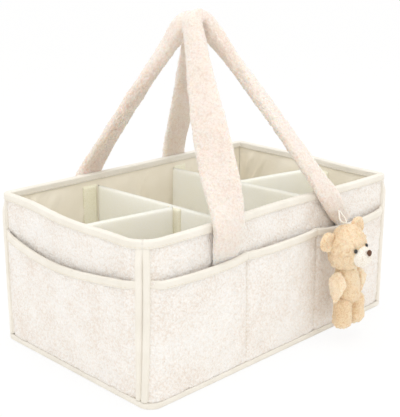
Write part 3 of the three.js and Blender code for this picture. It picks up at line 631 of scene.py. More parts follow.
def seamDent(bays, p):  # cloth drawn in along the sewn lines between bays
    return max([math.exp(-((p - bay["to"]) / pocketForm["seamWidth"]) ** 2) for bay in bays[:-1]], default=0)


def pocketAt(name, q, z, offset):
    wall = walls[name]
    inside = seamReach(wall, q, z) - abs(q)
    tuck = ease(inside, tuckForm["margin"], tuckForm["margin"] + tuckForm["run"])
    full = standOff(pockets[name], q, z) + offset
    return wallAt(wall, q, z, -lerp(tuckForm["offset"], full, tuck))


def addPocket(name):
    wall, bays = walls[name], pockets[name]

    def place(u, v):
        edge = pocketEdge(bays, spread(wall, u, pocketForm["level"], tuckForm["margin"]))
        z = lerp(pocketForm["foot"], edge, v)
        q = spread(wall, u, z, tuckForm["margin"])
        fade = ease(v, *pocketForm["fadeLow"]) * (1 - ease(v, *pocketForm["fadeHigh"]))
        fade *= ease(min(u, 1 - u), *pocketForm["fadeSide"])
        slack = pocketForm["slack"] * fade * wave(q, z, wall["turn"] * 9, pocketForm["slackSize"], 1)
        sewn = pocketForm["seamDent"] * seamDent(bays, q)
        full = pocketForm["thickness"] + pocketForm["proud"]
        return pocketAt(name, q, z, full + max(-pocketForm["slackIn"], slack) - sewn)
    columns = int(2 * wall["half"] / pocketForm["cell"])
    rows = int(bays[0]["fromHeight"] / pocketForm["cell"])
    bm = clothGrid(columns, rows, place, (2 * wall["half"], bays[0]["fromHeight"]))
    cloth = objectFrom(bm, f"{name}Pocket", teddyCloth)
    raisePile(cloth, pocketForm)
    thicken(cloth, pocketForm["cloth"])
    dress(cloth, "teddy", f"{name}_pocket")


def foldedTape(inside, outside, drop, rise, corners):  # section of a tape over an edge, outer foot first
    middle, half = (inside + outside) / 2, (outside - inside) / 2
    swell = 0.15
    rail = [(outside + swell * math.sin(i / 4 * math.pi), -drop + drop * i / 4) for i in range(4)]
    rail += [(middle + half * math.cos(a), rise * math.sin(a)) for a in
             [math.pi * i / corners for i in range(corners + 1)]]
    rail += [(inside, -drop + drop * i / 4) for i in range(3, -1, -1)]
    return rail


def railAt(rail, v):
    at = v * (len(rail) - 1)
    i = min(int(at), len(rail) - 2)
    return tuple(lerp(a, b, at - i) for a, b in zip(rail[i], rail[i + 1]))


def addPocketTape(name):
    wall, bays = walls[name], pockets[name]
    form = pocketTape
    rail = foldedTape(form["inside"], pocketForm["thickness"] + form["outside"], form["drop"], form["rise"],
                      form["turns"])

    def place(u, v):
        offset, rise = railAt(rail, v)
        z = pocketEdge(bays, spread(wall, u, form["level"], tuckForm["margin"])) + rise
        q = spread(wall, u, z, tuckForm["margin"])
        pucker = form["pucker"] * wave(q, rise, 0, form["puckerSize"], 3)
        sewn = form["seamDent"] * seamDent(bays, q) if v < 0.5 else 0
        return pocketAt(name, q, z, offset + pucker - sewn)
    columns = int(2 * wall["half"] / form["cell"])
    bm = clothGrid(columns, 2 * (len(rail) - 1), place, (2 * wall["half"], form["width"]))
    tape = objectFrom(bm, f"{name}PocketTape", cottonTape)
    thicken(tape, tapeThickness)
    dress(tape, "tape", f"{name}_pocket_binding")


for wallName in walls:
    addPocket(wallName)
    addPocketTape(wallName)
print("pockets sewn on")


# bindings
cornerForm = {
    "width": 7.4, "rise": 3.5, "seam": 0.5, "near": 0.3, "low": 7.1, "high": 163.5, "columns": 32, "rows": 90,
    "pucker": 0.25, "puckerSize": 9, "flat": 0.82, "flatten": (146, 162), "edge": 0.14, "sunk": -1.6,
    "cloth": (16, 153),
}
rimForm = {
    "foot": 161.3, "top": 169.3, "near": 0.3, "grow": 1, "round": 1.8, "turns": 10, "columns": 620,
    "pucker": 0.2, "puckerSize": 9, "cloth": (1240, 30),
}
hemForm = {
    "low": 0.3, "top": 6.8, "near": -0.3, "width": 4, "level": 5, "square": 0.7, "columns": 620, "rows": 16,
    "pucker": 0.2, "puckerSize": 12, "cloth": (1240, 18),
}
ringRun = 1200  # once round the box, for the puckers of the rim tape and the hem


def cornerAt(wall, share, z, rise):  # share -1 to 1 across the corner after a wall
    radius = cornerRadius(wall["after"], z)
    offset = share * cornerForm["width"] - seamDrift(wall["after"], z)
    past = radius * math.pi / 4 - abs(offset)
    angle = max(0, past / radius)
    along = wall["half"] - radius + min(0, past) + (radius + cornerForm["near"] + rise) * math.sin(angle)
    inward = radius - (radius + cornerForm["near"] + rise) * math.cos(angle)
    if offset > 0:
        along, inward = wall["half"] - inward, wall["half"] - along
    return lifted(turned(leaned(wall, along, inward, z), wall["turn"]))


def addCornerTape(name, wall):
    def place(u, v):
        share = 2 * u - 1
        z = lerp(cornerForm["low"], cornerForm["high"], v)
        middle = 2 * abs(share) - 1
        roll = cornerForm["seam"] + cornerForm["rise"] * math.sqrt(max(0, 1 - middle ** 2))
        pucker = cornerForm["pucker"] * wave(share * 8, z, wall["turn"], cornerForm["puckerSize"], 4)
        roll += pucker * (1 - middle ** 2)
        roll *= 1 - cornerForm["flat"] * ease(z, *cornerForm["flatten"])  # flattens under the rim tape
        edge = ease(1 - abs(share), 0, cornerForm["edge"])
        return cornerAt(wall, share, z, lerp(cornerForm["sunk"], roll, edge))  # sides sewn into the cloth
    bm = clothGrid(cornerForm["columns"], cornerForm["rows"], place, cornerForm["cloth"])
    tape = objectFrom(bm, f"{name}CornerTape", cottonTape)
    thicken(tape, tapeThickness)
    dress(tape, "tape", f"{name}_corner_binding")


def ringAt(u, z, depth):  # once round all four walls for u from 0 to 1
    at = (u % 1) * sum(2 * wall["half"] for wall in walls.values())
    for wall in walls.values():
        length = 2 * wall["half"]
        if at <= length:
            return wallAt(wall, spread(wall, at / length, z, 0), z, depth)
        at -= length


def addRimTape():
    form = rimForm
    inside, outside = box["depth"] + form["near"] + form["grow"], -form["near"] - form["grow"]
    drop = form["top"] - form["foot"] - form["round"]
    rail = foldedTape(-inside, -outside, drop, form["round"], form["turns"])

    def place(u, v):
        offset, rise = railAt(rail, v)
        z = form["top"] - form["round"] + rise
        pucker = form["pucker"] * wave(u * ringRun, rise, 0, form["puckerSize"], 6)
        return lifted(ringAt(u, min(z, box["height"]), -offset - pucker).xy.to_3d() + up * z)
    bm = clothGrid(form["columns"], 2 * (len(rail) - 1), place, form["cloth"], closed=True)
    tape = objectFrom(bm, "rimTape", cottonTape)
    thicken(tape, tapeThickness)
    dress(tape, "tape", "rim_binding")


def addHem():
    form = hemForm

    def place(u, v):
        turn = 2 * math.pi * v
        middle = form["near"] - form["width"] / 2
        z = (form["low"] + form["top"]) / 2
        out = 0.5 * form["width"] * squared(math.cos(turn), form["square"])
        high = 0.5 * (form["top"] - form["low"]) * squared(math.sin(turn), form["square"])
        pucker = form["pucker"] * wave(u * ringRun, 0, 0, form["puckerSize"], 8)
        depth = middle - out - pucker * max(0, math.cos(turn))
        return ringAt(u, form["level"], depth).xy.to_3d() + up * (z + high)
    bm = clothGrid(form["columns"], form["rows"], place, form["cloth"], closed=True)
    hem = objectFrom(bm, "baseHem", cottonTape)
    dress(hem, "tape", "base_binding")


stitchForm = {
    "pitch": 4.4, "length": 3, "width": 0.75, "height": 0.6, "onRim": 1.5, "aboveFoot": 1.7, "rimRun": 1240,
    "innerRun": 1200, "belowEdge": 4.8, "onTape": 1.75, "ends": (0.03, 0.97), "level": 125, "pocketRun": 1.9,
    "bay": (12, 121), "bayRun": 109, "inCloth": 0.7,
}


def addStitches(name, seams):  # bars of thread along each seam, which is a call from 0 to 1 and a length
    bm = bmesh.new()
    size = Matrix.Diagonal((stitchForm["length"] / 2, stitchForm["width"] / 2, stitchForm["height"] / 2, 1))
    for seam, length in seams:
        count = int(length / stitchForm["pitch"])
        for i in range(count):
            at = (i + 0.5) / count
            point, above = seam(at, 0), seam(at, 1)
            heading = (seam(at + 0.3 / count, 0) - seam(at - 0.3 / count, 0)).normalized()
            beside = heading.cross(above - point).normalized()
            pose = Matrix((heading, beside, heading.cross(beside))).transposed().to_4x4()
            pose.translation = point
            bmesh.ops.create_icosphere(bm, subdivisions=1, radius=1, matrix=Matrix.Scale(mm, 4) @ pose @ size)
    thread = objectFrom(bm, name, seamThread)
    dress(thread, "tape")


def rimSeam(depth, outward):
    return lambda at, lift: ringAt(at, rimForm["foot"] + stitchForm["aboveFoot"], depth + outward * lift)


def pocketSeam(name):
    wall, bays = walls[name], pockets[name]

    def seam(at, lift):
        q = spread(wall, lerp(*stitchForm["ends"], at), stitchForm["level"], tuckForm["margin"])
        z = pocketEdge(bays, q) - stitchForm["belowEdge"]
        return pocketAt(name, q, z, pocketForm["thickness"] + stitchForm["onTape"] + lift)
    return seam


def baySeam(name, p):
    def seam(at, lift):
        z = lerp(*stitchForm["bay"], at)
        return pocketAt(name, p, z, pocketForm["thickness"] - stitchForm["inCloth"] + lift)
    return seam


def addSeams():
    outer, inner = rimSeam(-stitchForm["onRim"], -1), rimSeam(box["depth"] + stitchForm["onRim"], 1)
    addStitches("rimStitches", [(outer, stitchForm["rimRun"]), (inner, stitchForm["innerRun"])])
    for name in walls:
        seams = [(pocketSeam(name), stitchForm["pocketRun"] * walls[name]["half"])]
        seams += [(baySeam(name, bay["to"]), stitchForm["bayRun"]) for bay in pockets[name][:-1]]
        addStitches(f"{name}PocketStitches", seams)


for cornerName, wallName in zip(("front_right", "back_right", "back_left", "front_left"), walls):
    addCornerTape(cornerName, walls[wallName])
addRimTape()
addHem()
addSeams()
print("edges bound and stitched")


# handles: a strap tucked behind the pocket, flat on the wall, turning into a round grip on its way up
strap = {
    "gripWidth": 24, "gripThickness": 19, "gripStart": 0.25, "bow": 3, "arc": 11, "hinge": 171, "pile": 1,
    "ease": 1.8, "stand": 1.9, "around": 84, "square": 0.8, "legRows": 150, "topRows": 16, "cloth": (90, 560),
    "bend": 26, "bendAbove": 4, "softening": 60, "lump": 0.7, "lumpSize": 24, "lumpTurn": 40,
    "lumpFrom": (4, 12), "closing": 0.02, "lumps": 0.4, "nubs": 0.9,
}
strapEnd = {
    "tuck": 8, "tucked": 3, "thickness": 5, "rows": 44, "collar": 2, "thinTo": -4, "fullFrom": 3,
    "near": 0.3, "leave": (150, 160), "narrowTo": -3, "wideFrom": 30, "step": 0.3,
}


def leg(place, foot, width, thickness, turn, narrow):
    return {"across": place, "foot": foot, "width": width, "thickness": thickness,
            "turn": math.radians(turn), "narrow": narrow}


handles = {
    "front": {
        "left": leg(-88, -88, 40, 15, 45, 0.1), "right": leg(67, 107, 28, 13.5, 15, 0.25),
        "apex": (355, -0.5),
    },
    "back": {
        "left": leg(-71, -88, 34, 14, 5, 0.2), "right": leg(66, 88, 34, 14, 15, 0.2),
        "apex": (351, -22.5),
    },
}


def legTurn(one, share):
    fromMiddle = abs(2 * share - 1) ** strap["ease"]
    if share < 0.5:
        return one["turn"] * (1 - fromMiddle)
    return one["turn"] + (math.pi / 2 - one["turn"]) * fromMiddle


def rimFace(name, p, z):  # y of the wall's outer face, in the wall's own frame
    return wallLocal(walls[name], p, min(z, box["height"]), 0).y


def endSections(name, one):  # from behind the pocket's edge up to the hinge line
    edge = pocketEdge(pockets[name], one["foot"])
    collar = edge + strapEnd["collar"]
    sections = []
    for i in range(strapEnd["rows"]):
        z = lerp(edge - strapEnd["tuck"], strap["hinge"], i / strapEnd["rows"])
        thick = one["thickness"] - strap["pile"]
        thick = lerp(strapEnd["thickness"], thick, ease(z, collar, rimForm["foot"]))
        full = ease(z, edge + strapEnd["thinTo"], collar + strapEnd["fullFrom"])
        thick = lerp(strapEnd["tucked"], thick, full)
        near = lerp(strapEnd["near"], strap["stand"], ease(z, *strapEnd["leave"]))
        middle = lerp(one["foot"], one["across"], clamp((z - collar) / (strap["hinge"] - collar)))
        wide = ease(z, edge + strapEnd["narrowTo"], edge + strapEnd["wideFrom"])
        narrow = 1 - one["narrow"] * (1 - wide)
        y = rimFace(name, middle, z) - near - thick / 2
        sections.append((Vector((middle, y, z)), Vector((0, -1, 0)), one["width"] * narrow, thick))
    return sections


def handleSections(name):  # middle, facing, width and thickness of each section, from left to right foot
    handle = handles[name]
    feet = []
    for one in (handle["left"], handle["right"]):
        y = rimFace(name, one["across"], strap["hinge"]) - strap["stand"]
        y -= (one["thickness"] - strap["pile"]) / 2
        feet.append(Vector((one["across"], y, strap["hinge"] + strapEnd["step"])))
    middle = (feet[0] + feet[1]) / 2
    half = (feet[1].x - feet[0].x) / 2
    climb = Vector((middle.x, handle["apex"][1], handle["apex"][0])) - middle
    arcCentre = climb.length - strap["arc"]
    rise = climb.normalized()
    facing = -rise.cross(across)
    distance = math.hypot(half, arcCentre)
    legLength = math.sqrt(distance ** 2 - strap["arc"] ** 2)
    tilt = math.atan2(half, arcCentre) - math.asin(strap["arc"] / distance)

    def section(point, angle, turn, one, share):
        outer = across * math.cos(angle) + rise * math.sin(angle)
        fill = ease(share, strap["gripStart"], 1)
        normal = outer * math.sin(turn) + facing * math.cos(turn)
        return (point, normal, lerp(one["width"], strap["gripWidth"], fill),
                lerp(one["thickness"] - strap["pile"], strap["gripThickness"], fill))

    def legSections(one, foot, side):
        rows = []
        for i in range(1, strap["legRows"] + 1):
            share = i / strap["legRows"]
            run = share * legLength
            bow = strap["bow"] * math.sin(share * math.pi)
            point = middle + across * side * (half - run * math.sin(tilt) + bow) + rise * run * math.cos(tilt)
            point.y += (foot.y - middle.y) * (1 - share)
            angle = tilt if side > 0 else math.pi - tilt
            rows.append(section(point, angle, legTurn(one, share), one, share))
        return rows

    left = endSections(name, handle["left"]) + legSections(handle["left"], feet[0], -1)
    right = endSections(name, handle["right"]) + legSections(handle["right"], feet[1], 1)
    top = []
    for i in range(1, strap["topRows"]):
        angle = lerp(math.pi - tilt, tilt, i / strap["topRows"])
        climbed = arcCentre + strap["arc"] * math.sin(angle)
        point = middle + across * strap["arc"] * math.cos(angle) + rise * climbed
        top.append(section(point, angle, math.pi / 2, handle["left"], 1))
    return left + top + right[::-1]


def easedBend(sections):  # the strap bends gently where it leaves the rim
    points = [s[0].copy() for s in sections]
    normals = [s[1].copy() for s in sections]
    for _ in range(strap["softening"]):
        before, faced = [p.copy() for p in points], [n.copy() for n in normals]
        for i in range(1, len(points) - 1):
            share = math.exp(-((before[i].z - strap["hinge"] - strap["bendAbove"]) / strap["bend"]) ** 2)
            points[i] = before[i].lerp((before[i - 1] + before[i + 1]) / 2, share)
            normals[i] = faced[i].lerp((faced[i - 1] + faced[i + 1]) / 2, share)
    return [(p, n.normalized(), *s[2:]) for p, n, s in zip(points, normals, sections)]


def addHandle(name):
    sections = easedBend(handleSections(name))
    turn = walls[name]["turn"]
    points = [s[0] for s in sections]
    rows = len(sections) - 1

    def place(u, v):
        i = round(v * rows)
        point, normal, width, thick = sections[i]
        heading = (points[min(i + 2, rows)] - points[max(i - 2, 0)]).normalized()
        beside = heading.cross(normal).normalized()
        normal = beside.cross(heading).normalized()
        angle = 2 * math.pi * u
        side = 0.5 * width * squared(math.cos(angle), strap["square"])
        out = 0.5 * thick * squared(math.sin(angle), strap["square"])
        shrink = strap["closing"] if i in (0, rows) else 1  # ends run to a point behind the pocket
        y = point.y + strap["lumpTurn"] * math.sin(angle)
        lump = strap["lump"] * wave(point.x, y, point.z, strap["lumpSize"], 9)
        lump *= ease(thick, *strap["lumpFrom"])
        outward = (beside * side + normal * out) * shrink
        if outward.length > 0.01:
            outward = outward + outward.normalized() * lump * shrink
        return turned(point + outward, turn)
    bm = clothGrid(strap["around"], rows, place, strap["cloth"], closed=True)
    handle = objectFrom(bm, f"{name}Handle", strapCloth)
    raisePile(handle, strap)
    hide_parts(f"{name}_handle_sleeve", f"{name}_handle_core",
                f"{name}_handle_end_left", f"{name}_handle_end_right")
    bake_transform(handle)


addHandle("front")
addHandle("back")
print("handles made")


# partitions of cloth-covered foam
foamForm = {
    "thickness": 4, "top": 158, "low": 6.1, "rounding": 1.6, "square": 0.12, "around": 92, "closing": 0.02,
    "bend": 0.9, "bendSize": 90, "ripple": 0.4, "rippleSize": 17, "rippleDown": 0.4, "cloth": (320, 230),
    "dividerRows": 72, "partitionRows": 60, "fromWall": 0.8, "fromTab": 0.9, "seat": 0.3, "overlap": 0.2,
}
tabForm = {
    "width": 20, "rise": 1.6, "low": 19.8, "top": 156, "beside": 0.6, "sunk": 0.5, "thickness": 1.2,
    "stripThickness": 1, "stripSunk": 0.2, "edge": 0.12, "edgeDrop": 0.8, "ends": 6,
    "columns": 16, "rows": 60, "cloth": (20, 124), "stripCloth": (20, 136),
}
dividers = {
    "left": {"back": -63, "front": -55, "hingeY": -16, "side": -1, "wallY": 2},
    "right": {"back": 58, "front": 77, "hingeY": 9, "side": 1, "wallY": -14},
}


def liningReach(wall, p, z):
    return -wallLocal(wall, p, z, box["depth"]).y


def dividerX(divider, y):
    slant = (divider["front"] - divider["back"]) / (2 * liningReach(walls["back"], divider["back"], 0))
    return (divider["front"] + divider["back"]) / 2 - slant * y


# a slab drawn round its middle line: the section is a thin loop, the run goes from one end to the other
def foamSlab(middleAt, rows):
    form = foamForm
    half, height = form["thickness"] / 2, (form["top"] - form["low"]) / 2

    def place(u, v):
        side = squared(math.cos(2 * math.pi * u), form["square"])  # nearly square section with soft edges
        high = turnShare(u)
        over = max(0, abs(high) * height - (height - form["rounding"])) / form["rounding"]
        slim = half * math.sqrt(max(0, 1 - over ** 2)) if over else half
        z = (form["low"] + form["top"]) / 2 + height * high
        closing = form["closing"] if min(v, 1 - v) == 0 else 1
        point, beside = middleAt(v, z)
        bend = form["bend"] * wave(point.x, point.y, z, form["bendSize"], 11)
        bend += form["ripple"] * wave(point.x, point.y, z * form["rippleDown"], form["rippleSize"], 12)
        return point + beside * (side * slim * closing + bend) + up * z
    return clothGrid(form["around"], rows, place, form["cloth"], closed=True)


def turnShare(u):  # height share for a point going round a tall thin loop
    t = (u % 1) * 4
    if t < 1:
        return t
    if t < 3:
        return 2 - t
    return t - 4


def addDivider(name):
    divider = dividers[name]
    wallFront, wallBack = walls["front"], walls["back"]

    def middleAt(v, z):
        front = -liningReach(wallFront, divider["front"], z) + foamForm["fromWall"]
        back = liningReach(wallBack, -divider["back"], z) - foamForm["fromWall"]
        y = lerp(front, back, v)
        return Vector((dividerX(divider, y), y, 0)), across.copy()
    bm = foamSlab(middleAt, foamForm["dividerRows"])
    panel = objectFrom(bm, f"{name}Divider", foamCloth)
    dress(panel, "foam", f"{name}_divider")


def addPartition(name):
    divider = dividers[name]
    side, half = divider["side"], foamForm["thickness"] / 2
    wall = walls[name]
    seat = half + tabForm["rise"] + foamForm["seat"] + half
    hinge = Vector((dividerX(divider, divider["hingeY"]) + side * seat, divider["hingeY"], 0))

    def middleAt(v, z):
        reach = liningReach(wall, side * divider["wallY"], z) - tabForm["rise"] - foamForm["fromTab"]
        far = Vector((side * reach, divider["wallY"], 0))
        heading = (far - hinge).normalized()
        near = hinge - heading * (half - foamForm["overlap"]) * (1 - v)
        return near + (far - hinge) * v, up.cross(heading)
    bm = foamSlab(middleAt, foamForm["partitionRows"])
    panel = objectFrom(bm, f"{name}Partition", foamCloth)
    dress(panel, "foam", f"{name}_partition", body=f"{name}_panel")


def tabRound(u, v):  # 0 at the rounded edges of a tab, 1 on its face
    return ease(min(u, 1 - u, v * tabForm["ends"], (1 - v) * tabForm["ends"]), 0, tabForm["edge"])


def addTabCloth(name, place, cloth, thickness, reverse, *nodes):
    bm = clothGrid(tabForm["columns"], tabForm["rows"], place, cloth)
    if reverse:
        bmesh.ops.reverse_faces(bm, faces=bm.faces)
    tab = objectFrom(bm, name, tabCloth)
    thicken(tab, thickness)
    dress(tab, "foam", *nodes)


def addTab(node, wall, p, side):
    start = p + side * (foamForm["thickness"] / 2 + tabForm["beside"])

    def place(u, v):
        q = start + side * tabForm["width"] * u
        z = lerp(tabForm["top"], tabForm["low"], v)
        rise = tabForm["rise"] * (1 - tabForm["edgeDrop"] * (1 - tabRound(u, v)))
        return wallAt(wall, q, z, box["depth"] + tabForm["sunk"] + rise)
    addTabCloth(camelName(node), place, tabForm["cloth"], tabForm["thickness"], side < 0, node)


def addHingeStrip(name):  # sewn strip on the cross divider, which the partition folds against
    divider = dividers[name]
    side, half = divider["side"], foamForm["thickness"] / 2

    def place(u, v):
        y = divider["hingeY"] + tabForm["width"] * (u - 0.5)
        z = lerp(tabForm["top"], tabForm["low"], v)
        out = half + tabForm["rise"] * tabRound(u, v) - tabForm["stripSunk"]
        return Vector((dividerX(divider, y) + side * out, y, z))
    addTabCloth(f"{name}HingeStrip", place, tabForm["stripCloth"], tabForm["stripThickness"], side > 0)


for sideName in dividers:
    addDivider(sideName)
    addPartition(sideName)
    addHingeStrip(sideName)
for sideName, crossPanel in dividers.items():
    addTab(f"{sideName}_divider_back_tab", walls["back"], -crossPanel["back"], -crossPanel["side"])
    addTab(f"{sideName}_divider_front_tab", walls["front"], crossPanel["front"], crossPanel["side"])
for sideName, crossPanel in dividers.items():
    addTab(f"{sideName}_partition_tab", walls[sideName], crossPanel["side"] * crossPanel["wallY"], -1)
print("partitions placed")


# stuffed bear
bearPlace = (80, -153.06, 0)
headForm = {
    "mesh": (110, 80), "size": (48, 40, 54), "place": (-7, 0, 111.5), "tilt": -7, "nap": 1.7,
    "cheek": 0.10, "cheekLow": 0.62, "cheekSpan": 0.34, "squash": 0.97,
}
muzzleForm = {
    "mesh": (64, 44), "size": (25, 20, 23), "place": (0, -19.5, -6.5), "nap": 0.6,
    "cleft": 1.1, "cleftWidth": 1.1, "cleftFront": (2, 8), "cleftTop": 1.5, "cleftRun": 4,
}
noseForm = {
    "mesh": (28, 20), "size": (6.4, 4.8, 7.4), "place": (0, -29.2, 0.4),
    "foot": 0.66, "broaden": 0.34, "taper": (-3, 1.2),
}
eyeForm = {"mesh": (24, 16), "size": (4.4, 4, 4.8), "place": (9.6, -18.4, 3.2)}
earForm = {
    "mesh": (64, 44), "size": (22, 9, 22), "place": (27, 6.4, 14.5), "nap": 1.1,
    "hollow": 0.4, "roll": 0.8, "rim": (0.4, 0.85),
}
bellyForm = {
    "mesh": (76, 64), "size": (31, 29, 52), "place": (-4, 1, 70), "lean": -4.5, "nap": 1.2,
    "seat": 0.4, "seatRun": (0.2, 0.95), "seam": 0.5, "seamWidth": 0.9, "seamFront": (4, 10),
}
armForm = {
    "mesh": (56, 60), "length": 31, "width": 22, "thickness": 13, "place": (-6.5, -2, 83), "splay": 8,
    "thin": 0.66, "fat": 0.38, "fatAt": 0.35, "fatSpan": 0.6, "reach": 0.57, "below": 0.43, "lean": 0.2,
    "sunk": 3.5, "nap": 1.1,
}
legForm = {
    "mesh": (64, 64), "radius": 11.4, "hip": 44, "foot": 16, "out": 11.8, "shift": 1, "nap": 1.1,
    "thin": 0.93, "fat": 0.07, "fatLow": 0.7, "fatSpan": 0.3, "blunt": 4.5, "top": 0.96,
}
bearFrame = Matrix.Translation(bearPlace)
headTurn = Matrix.Rotation(math.radians(headForm["tilt"]), 4, "Y")
headFrame = bearFrame @ Matrix.Translation(headForm["place"]) @ headTurn


def ball(mesh, size=(1, 1, 1)):
    bm = bmesh.new()
    bmesh.ops.create_uvsphere(bm, u_segments=mesh[0], v_segments=mesh[1], radius=1)
    for vert in bm.verts:
        vert.co = Vector((vert.co.x * size[0] / 2, vert.co.y * size[1] / 2, vert.co.z * size[2] / 2))
    return bm


def move(bm, place, side=1):
    x, y, z = place
    bmesh.ops.translate(bm, vec=(side * x, y, z), verts=bm.verts)


def finishBear(bm, matrix, node, material, slotName, nap=0, body="bear"):  # only what has a nap is stuffed
    bmesh.ops.transform(bm, matrix=Matrix.Scale(mm, 4) @ matrix, verts=bm.verts)
    bmesh.ops.recalc_face_normals(bm, faces=bm.faces)
    piece = objectFrom(bm, camelName(node), material)
    if nap:
        raiseNap(piece, nap)
    dress(piece, slotName, node, body=body)


def addHead():
    form = headForm
    bm = ball(form["mesh"], form["size"])
    for vert in bm.verts:
        t = vert.co.z / (form["size"][2] / 2)
        full = 1 + form["cheek"] * math.exp(-((t + form["cheekLow"]) / form["cheekSpan"]) ** 2)
        vert.co.x *= full  # round cheeks over a broad chin
        vert.co.y *= full
        vert.co.z *= form["squash"]
    finishBear(bm, headFrame, "bear_head", bearPlush, "plush", form["nap"])


def addMuzzle():
    form = muzzleForm
    bm = ball(form["mesh"], form["size"])
    for vert in bm.verts:
        cleft = form["cleft"] * math.exp(-(vert.co.x / form["cleftWidth"]) ** 2)
        cleft *= ease(-vert.co.y, *form["cleftFront"])
        cleft *= ease(form["cleftTop"] - vert.co.z, 0, form["cleftRun"])
        vert.co.y += cleft  # seam below the nose
    move(bm, form["place"])
    finishBear(bm, headFrame, "bear_muzzle", palePlush, "pale_plush", form["nap"])


def addNose():
    form = noseForm
    bm = ball(form["mesh"], form["size"])
    for vert in bm.verts:
        vert.co.x *= form["foot"] + form["broaden"] * ease(vert.co.z, *form["taper"])
    move(bm, form["place"])
    finishBear(bm, headFrame, "bear_nose", noseThread, "nose_thread")


def addEye(side, word):
    bm = ball(eyeForm["mesh"], eyeForm["size"])
    move(bm, eyeForm["place"], side)
    finishBear(bm, headFrame, f"bear_eye_{word}", eyeBead, "eye_bead")


def addEar(side, word):
    form = earForm
    bm = ball(form["mesh"], form["size"])
    for vert in bm.verts:
        reach = math.hypot(vert.co.x, vert.co.z) / (form["size"][0] / 2)
        if vert.co.y < 0:
            vert.co.y *= form["hollow"] + form["roll"] * ease(reach, *form["rim"])  # hollow in a rolled rim
    move(bm, form["place"], side)
    finishBear(bm, headFrame, f"bear_ear_{word}", bearPlush, "plush", form["nap"])


def addBody():
    form = bellyForm
    bm = ball(form["mesh"], form["size"])
    for vert in bm.verts:
        t = clamp(vert.co.z / (form["size"][2] / 2), -1, 1)
        seam = form["seam"] * math.exp(-(vert.co.x / form["seamWidth"]) ** 2)
        vert.co.y += seam * ease(-vert.co.y, *form["seamFront"])
        full = 1 + form["seat"] * ease(-t, *form["seatRun"])  # a broad seat over the legs
        vert.co.x = vert.co.x * full + form["lean"] * t
        vert.co.y *= full
    move(bm, form["place"])
    finishBear(bm, bearFrame, "bear_body", bearPlush, "plush", form["nap"])


def addArm(side, word):
    form = armForm
    bm = ball(form["mesh"])
    for vert in bm.verts:
        t = clamp(vert.co.z * 2, -1, 1)
        fat = form["thin"] + form["fat"] * math.exp(-((t - form["fatAt"]) / form["fatSpan"]) ** 2)
        vert.co.x = vert.co.x * form["thickness"] * fat
        vert.co.y = vert.co.y * form["width"] * fat
        vert.co.z = t * form["length"] * form["reach"] - form["length"] * form["below"]
    splay = math.radians(form["splay"])
    lean = form["lean"] * form["length"] * math.sin(splay)
    seat = bellyForm["size"][0] / 2 + form["thickness"] / 2 - form["sunk"] - lean
    shoulder = Matrix.Translation(Vector(form["place"]) + across * side * seat)
    matrix = bearFrame @ shoulder @ Matrix.Rotation(-side * splay, 4, "Y")
    finishBear(bm, matrix, f"bear_arm_{word}", litArmPlush, "plush", form["nap"], f"arm_{word}")


def addLeg(side, word):
    form = legForm
    run, radius = form["hip"] - form["foot"], form["radius"]
    bm = ball(form["mesh"])
    for vert in bm.verts:
        t = clamp(vert.co.z * 2, -1, 1)
        bulk = form["thin"] + form["fat"] * math.exp(-((t + form["fatLow"]) / form["fatSpan"]) ** 2)
        girth = (1 - abs(t) ** form["blunt"]) ** 0.5 / max(0.05, math.sqrt(max(1e-4, 1 - t * t)))
        vert.co.x *= 2 * radius * bulk * girth
        vert.co.y *= 2 * radius * bulk * girth
        vert.co.z = (t + 1) / 2 * (run + radius * form["top"]) - run
    matrix = bearFrame @ Matrix.Translation((form["shift"] + side * form["out"], 0, form["hip"]))
    finishBear(bm, matrix, f"bear_leg_{word}", bearPlush, "plush", form["nap"], f"leg_{word}")


addHead()
addMuzzle()
addNose()
for sideSign, sideWord in ((1, "left"), (-1, "right")):
    addEye(sideSign, sideWord)
    addEar(sideSign, sideWord)
addBody()
for sideSign, sideWord in ((1, "left"), (-1, "right")):
    addArm(sideSign, sideWord)
    addLeg(sideSign, sideWord)
print("bear stuffed")


# the bear's cord loop, from the strap down to the crown of the head and back
loopForm = {
    "anchor": (86, -130.4, 146), "crown": (73, -147.06, 138.46), "half": 3.7, "start": 1.1, "radius": 0.9,
    "strandSteps": 8, "eyeSteps": 6, "parted": 0.95,
}


def loopPoints():  # two strands from the strap that part into a round eye over the bear's crown
    anchor, crown = Vector(loopForm["anchor"]), Vector(loopForm["crown"])
    heading = (crown - anchor).normalized()
    beside = heading.cross(across.cross(heading).normalized())
    half = loopForm["half"]
    run = (crown - anchor).length - half
    outline = []
    for i in range(loopForm["strandSteps"]):
        t = i / loopForm["strandSteps"]
        outline.append((run * t, lerp(loopForm["start"], half, ease(t, 0, loopForm["parted"]))))
    for i in range(loopForm["eyeSteps"] + 1):
        angle = math.pi * i / (2 * loopForm["eyeSteps"])
        outline.append((run + half * math.sin(angle), half * math.cos(angle)))
    outline += [(along, -wide) for along, wide in outline[-2::-1]]
    return [anchor + heading * along + beside * wide for along, wide in outline]


def addLoop():
    points = loopPoints()
    data = bpy.data.curves.new("bearLoop", "CURVE")
    data.dimensions = "3D"
    data.bevel_depth = loopForm["radius"] * mm
    data.bevel_resolution = 3
    data.use_fill_caps = True
    spline = data.splines.new("POLY")
    spline.points.add(len(points) - 1)
    for dot, point in zip(spline.points, points):
        dot.co = (*(point * mm), 1)
    length = sum((b - a).length for a, b in zip(points, points[1:])) * mm
    data.materials.append(loopCord)
    loop = bpy.data.objects.new("bearLoop", data)
    bpy.context.scene.collection.objects.link(loop)
    dress(loop, "cord", "bear_loop", body="loop")


addLoop()
print("loop tied")


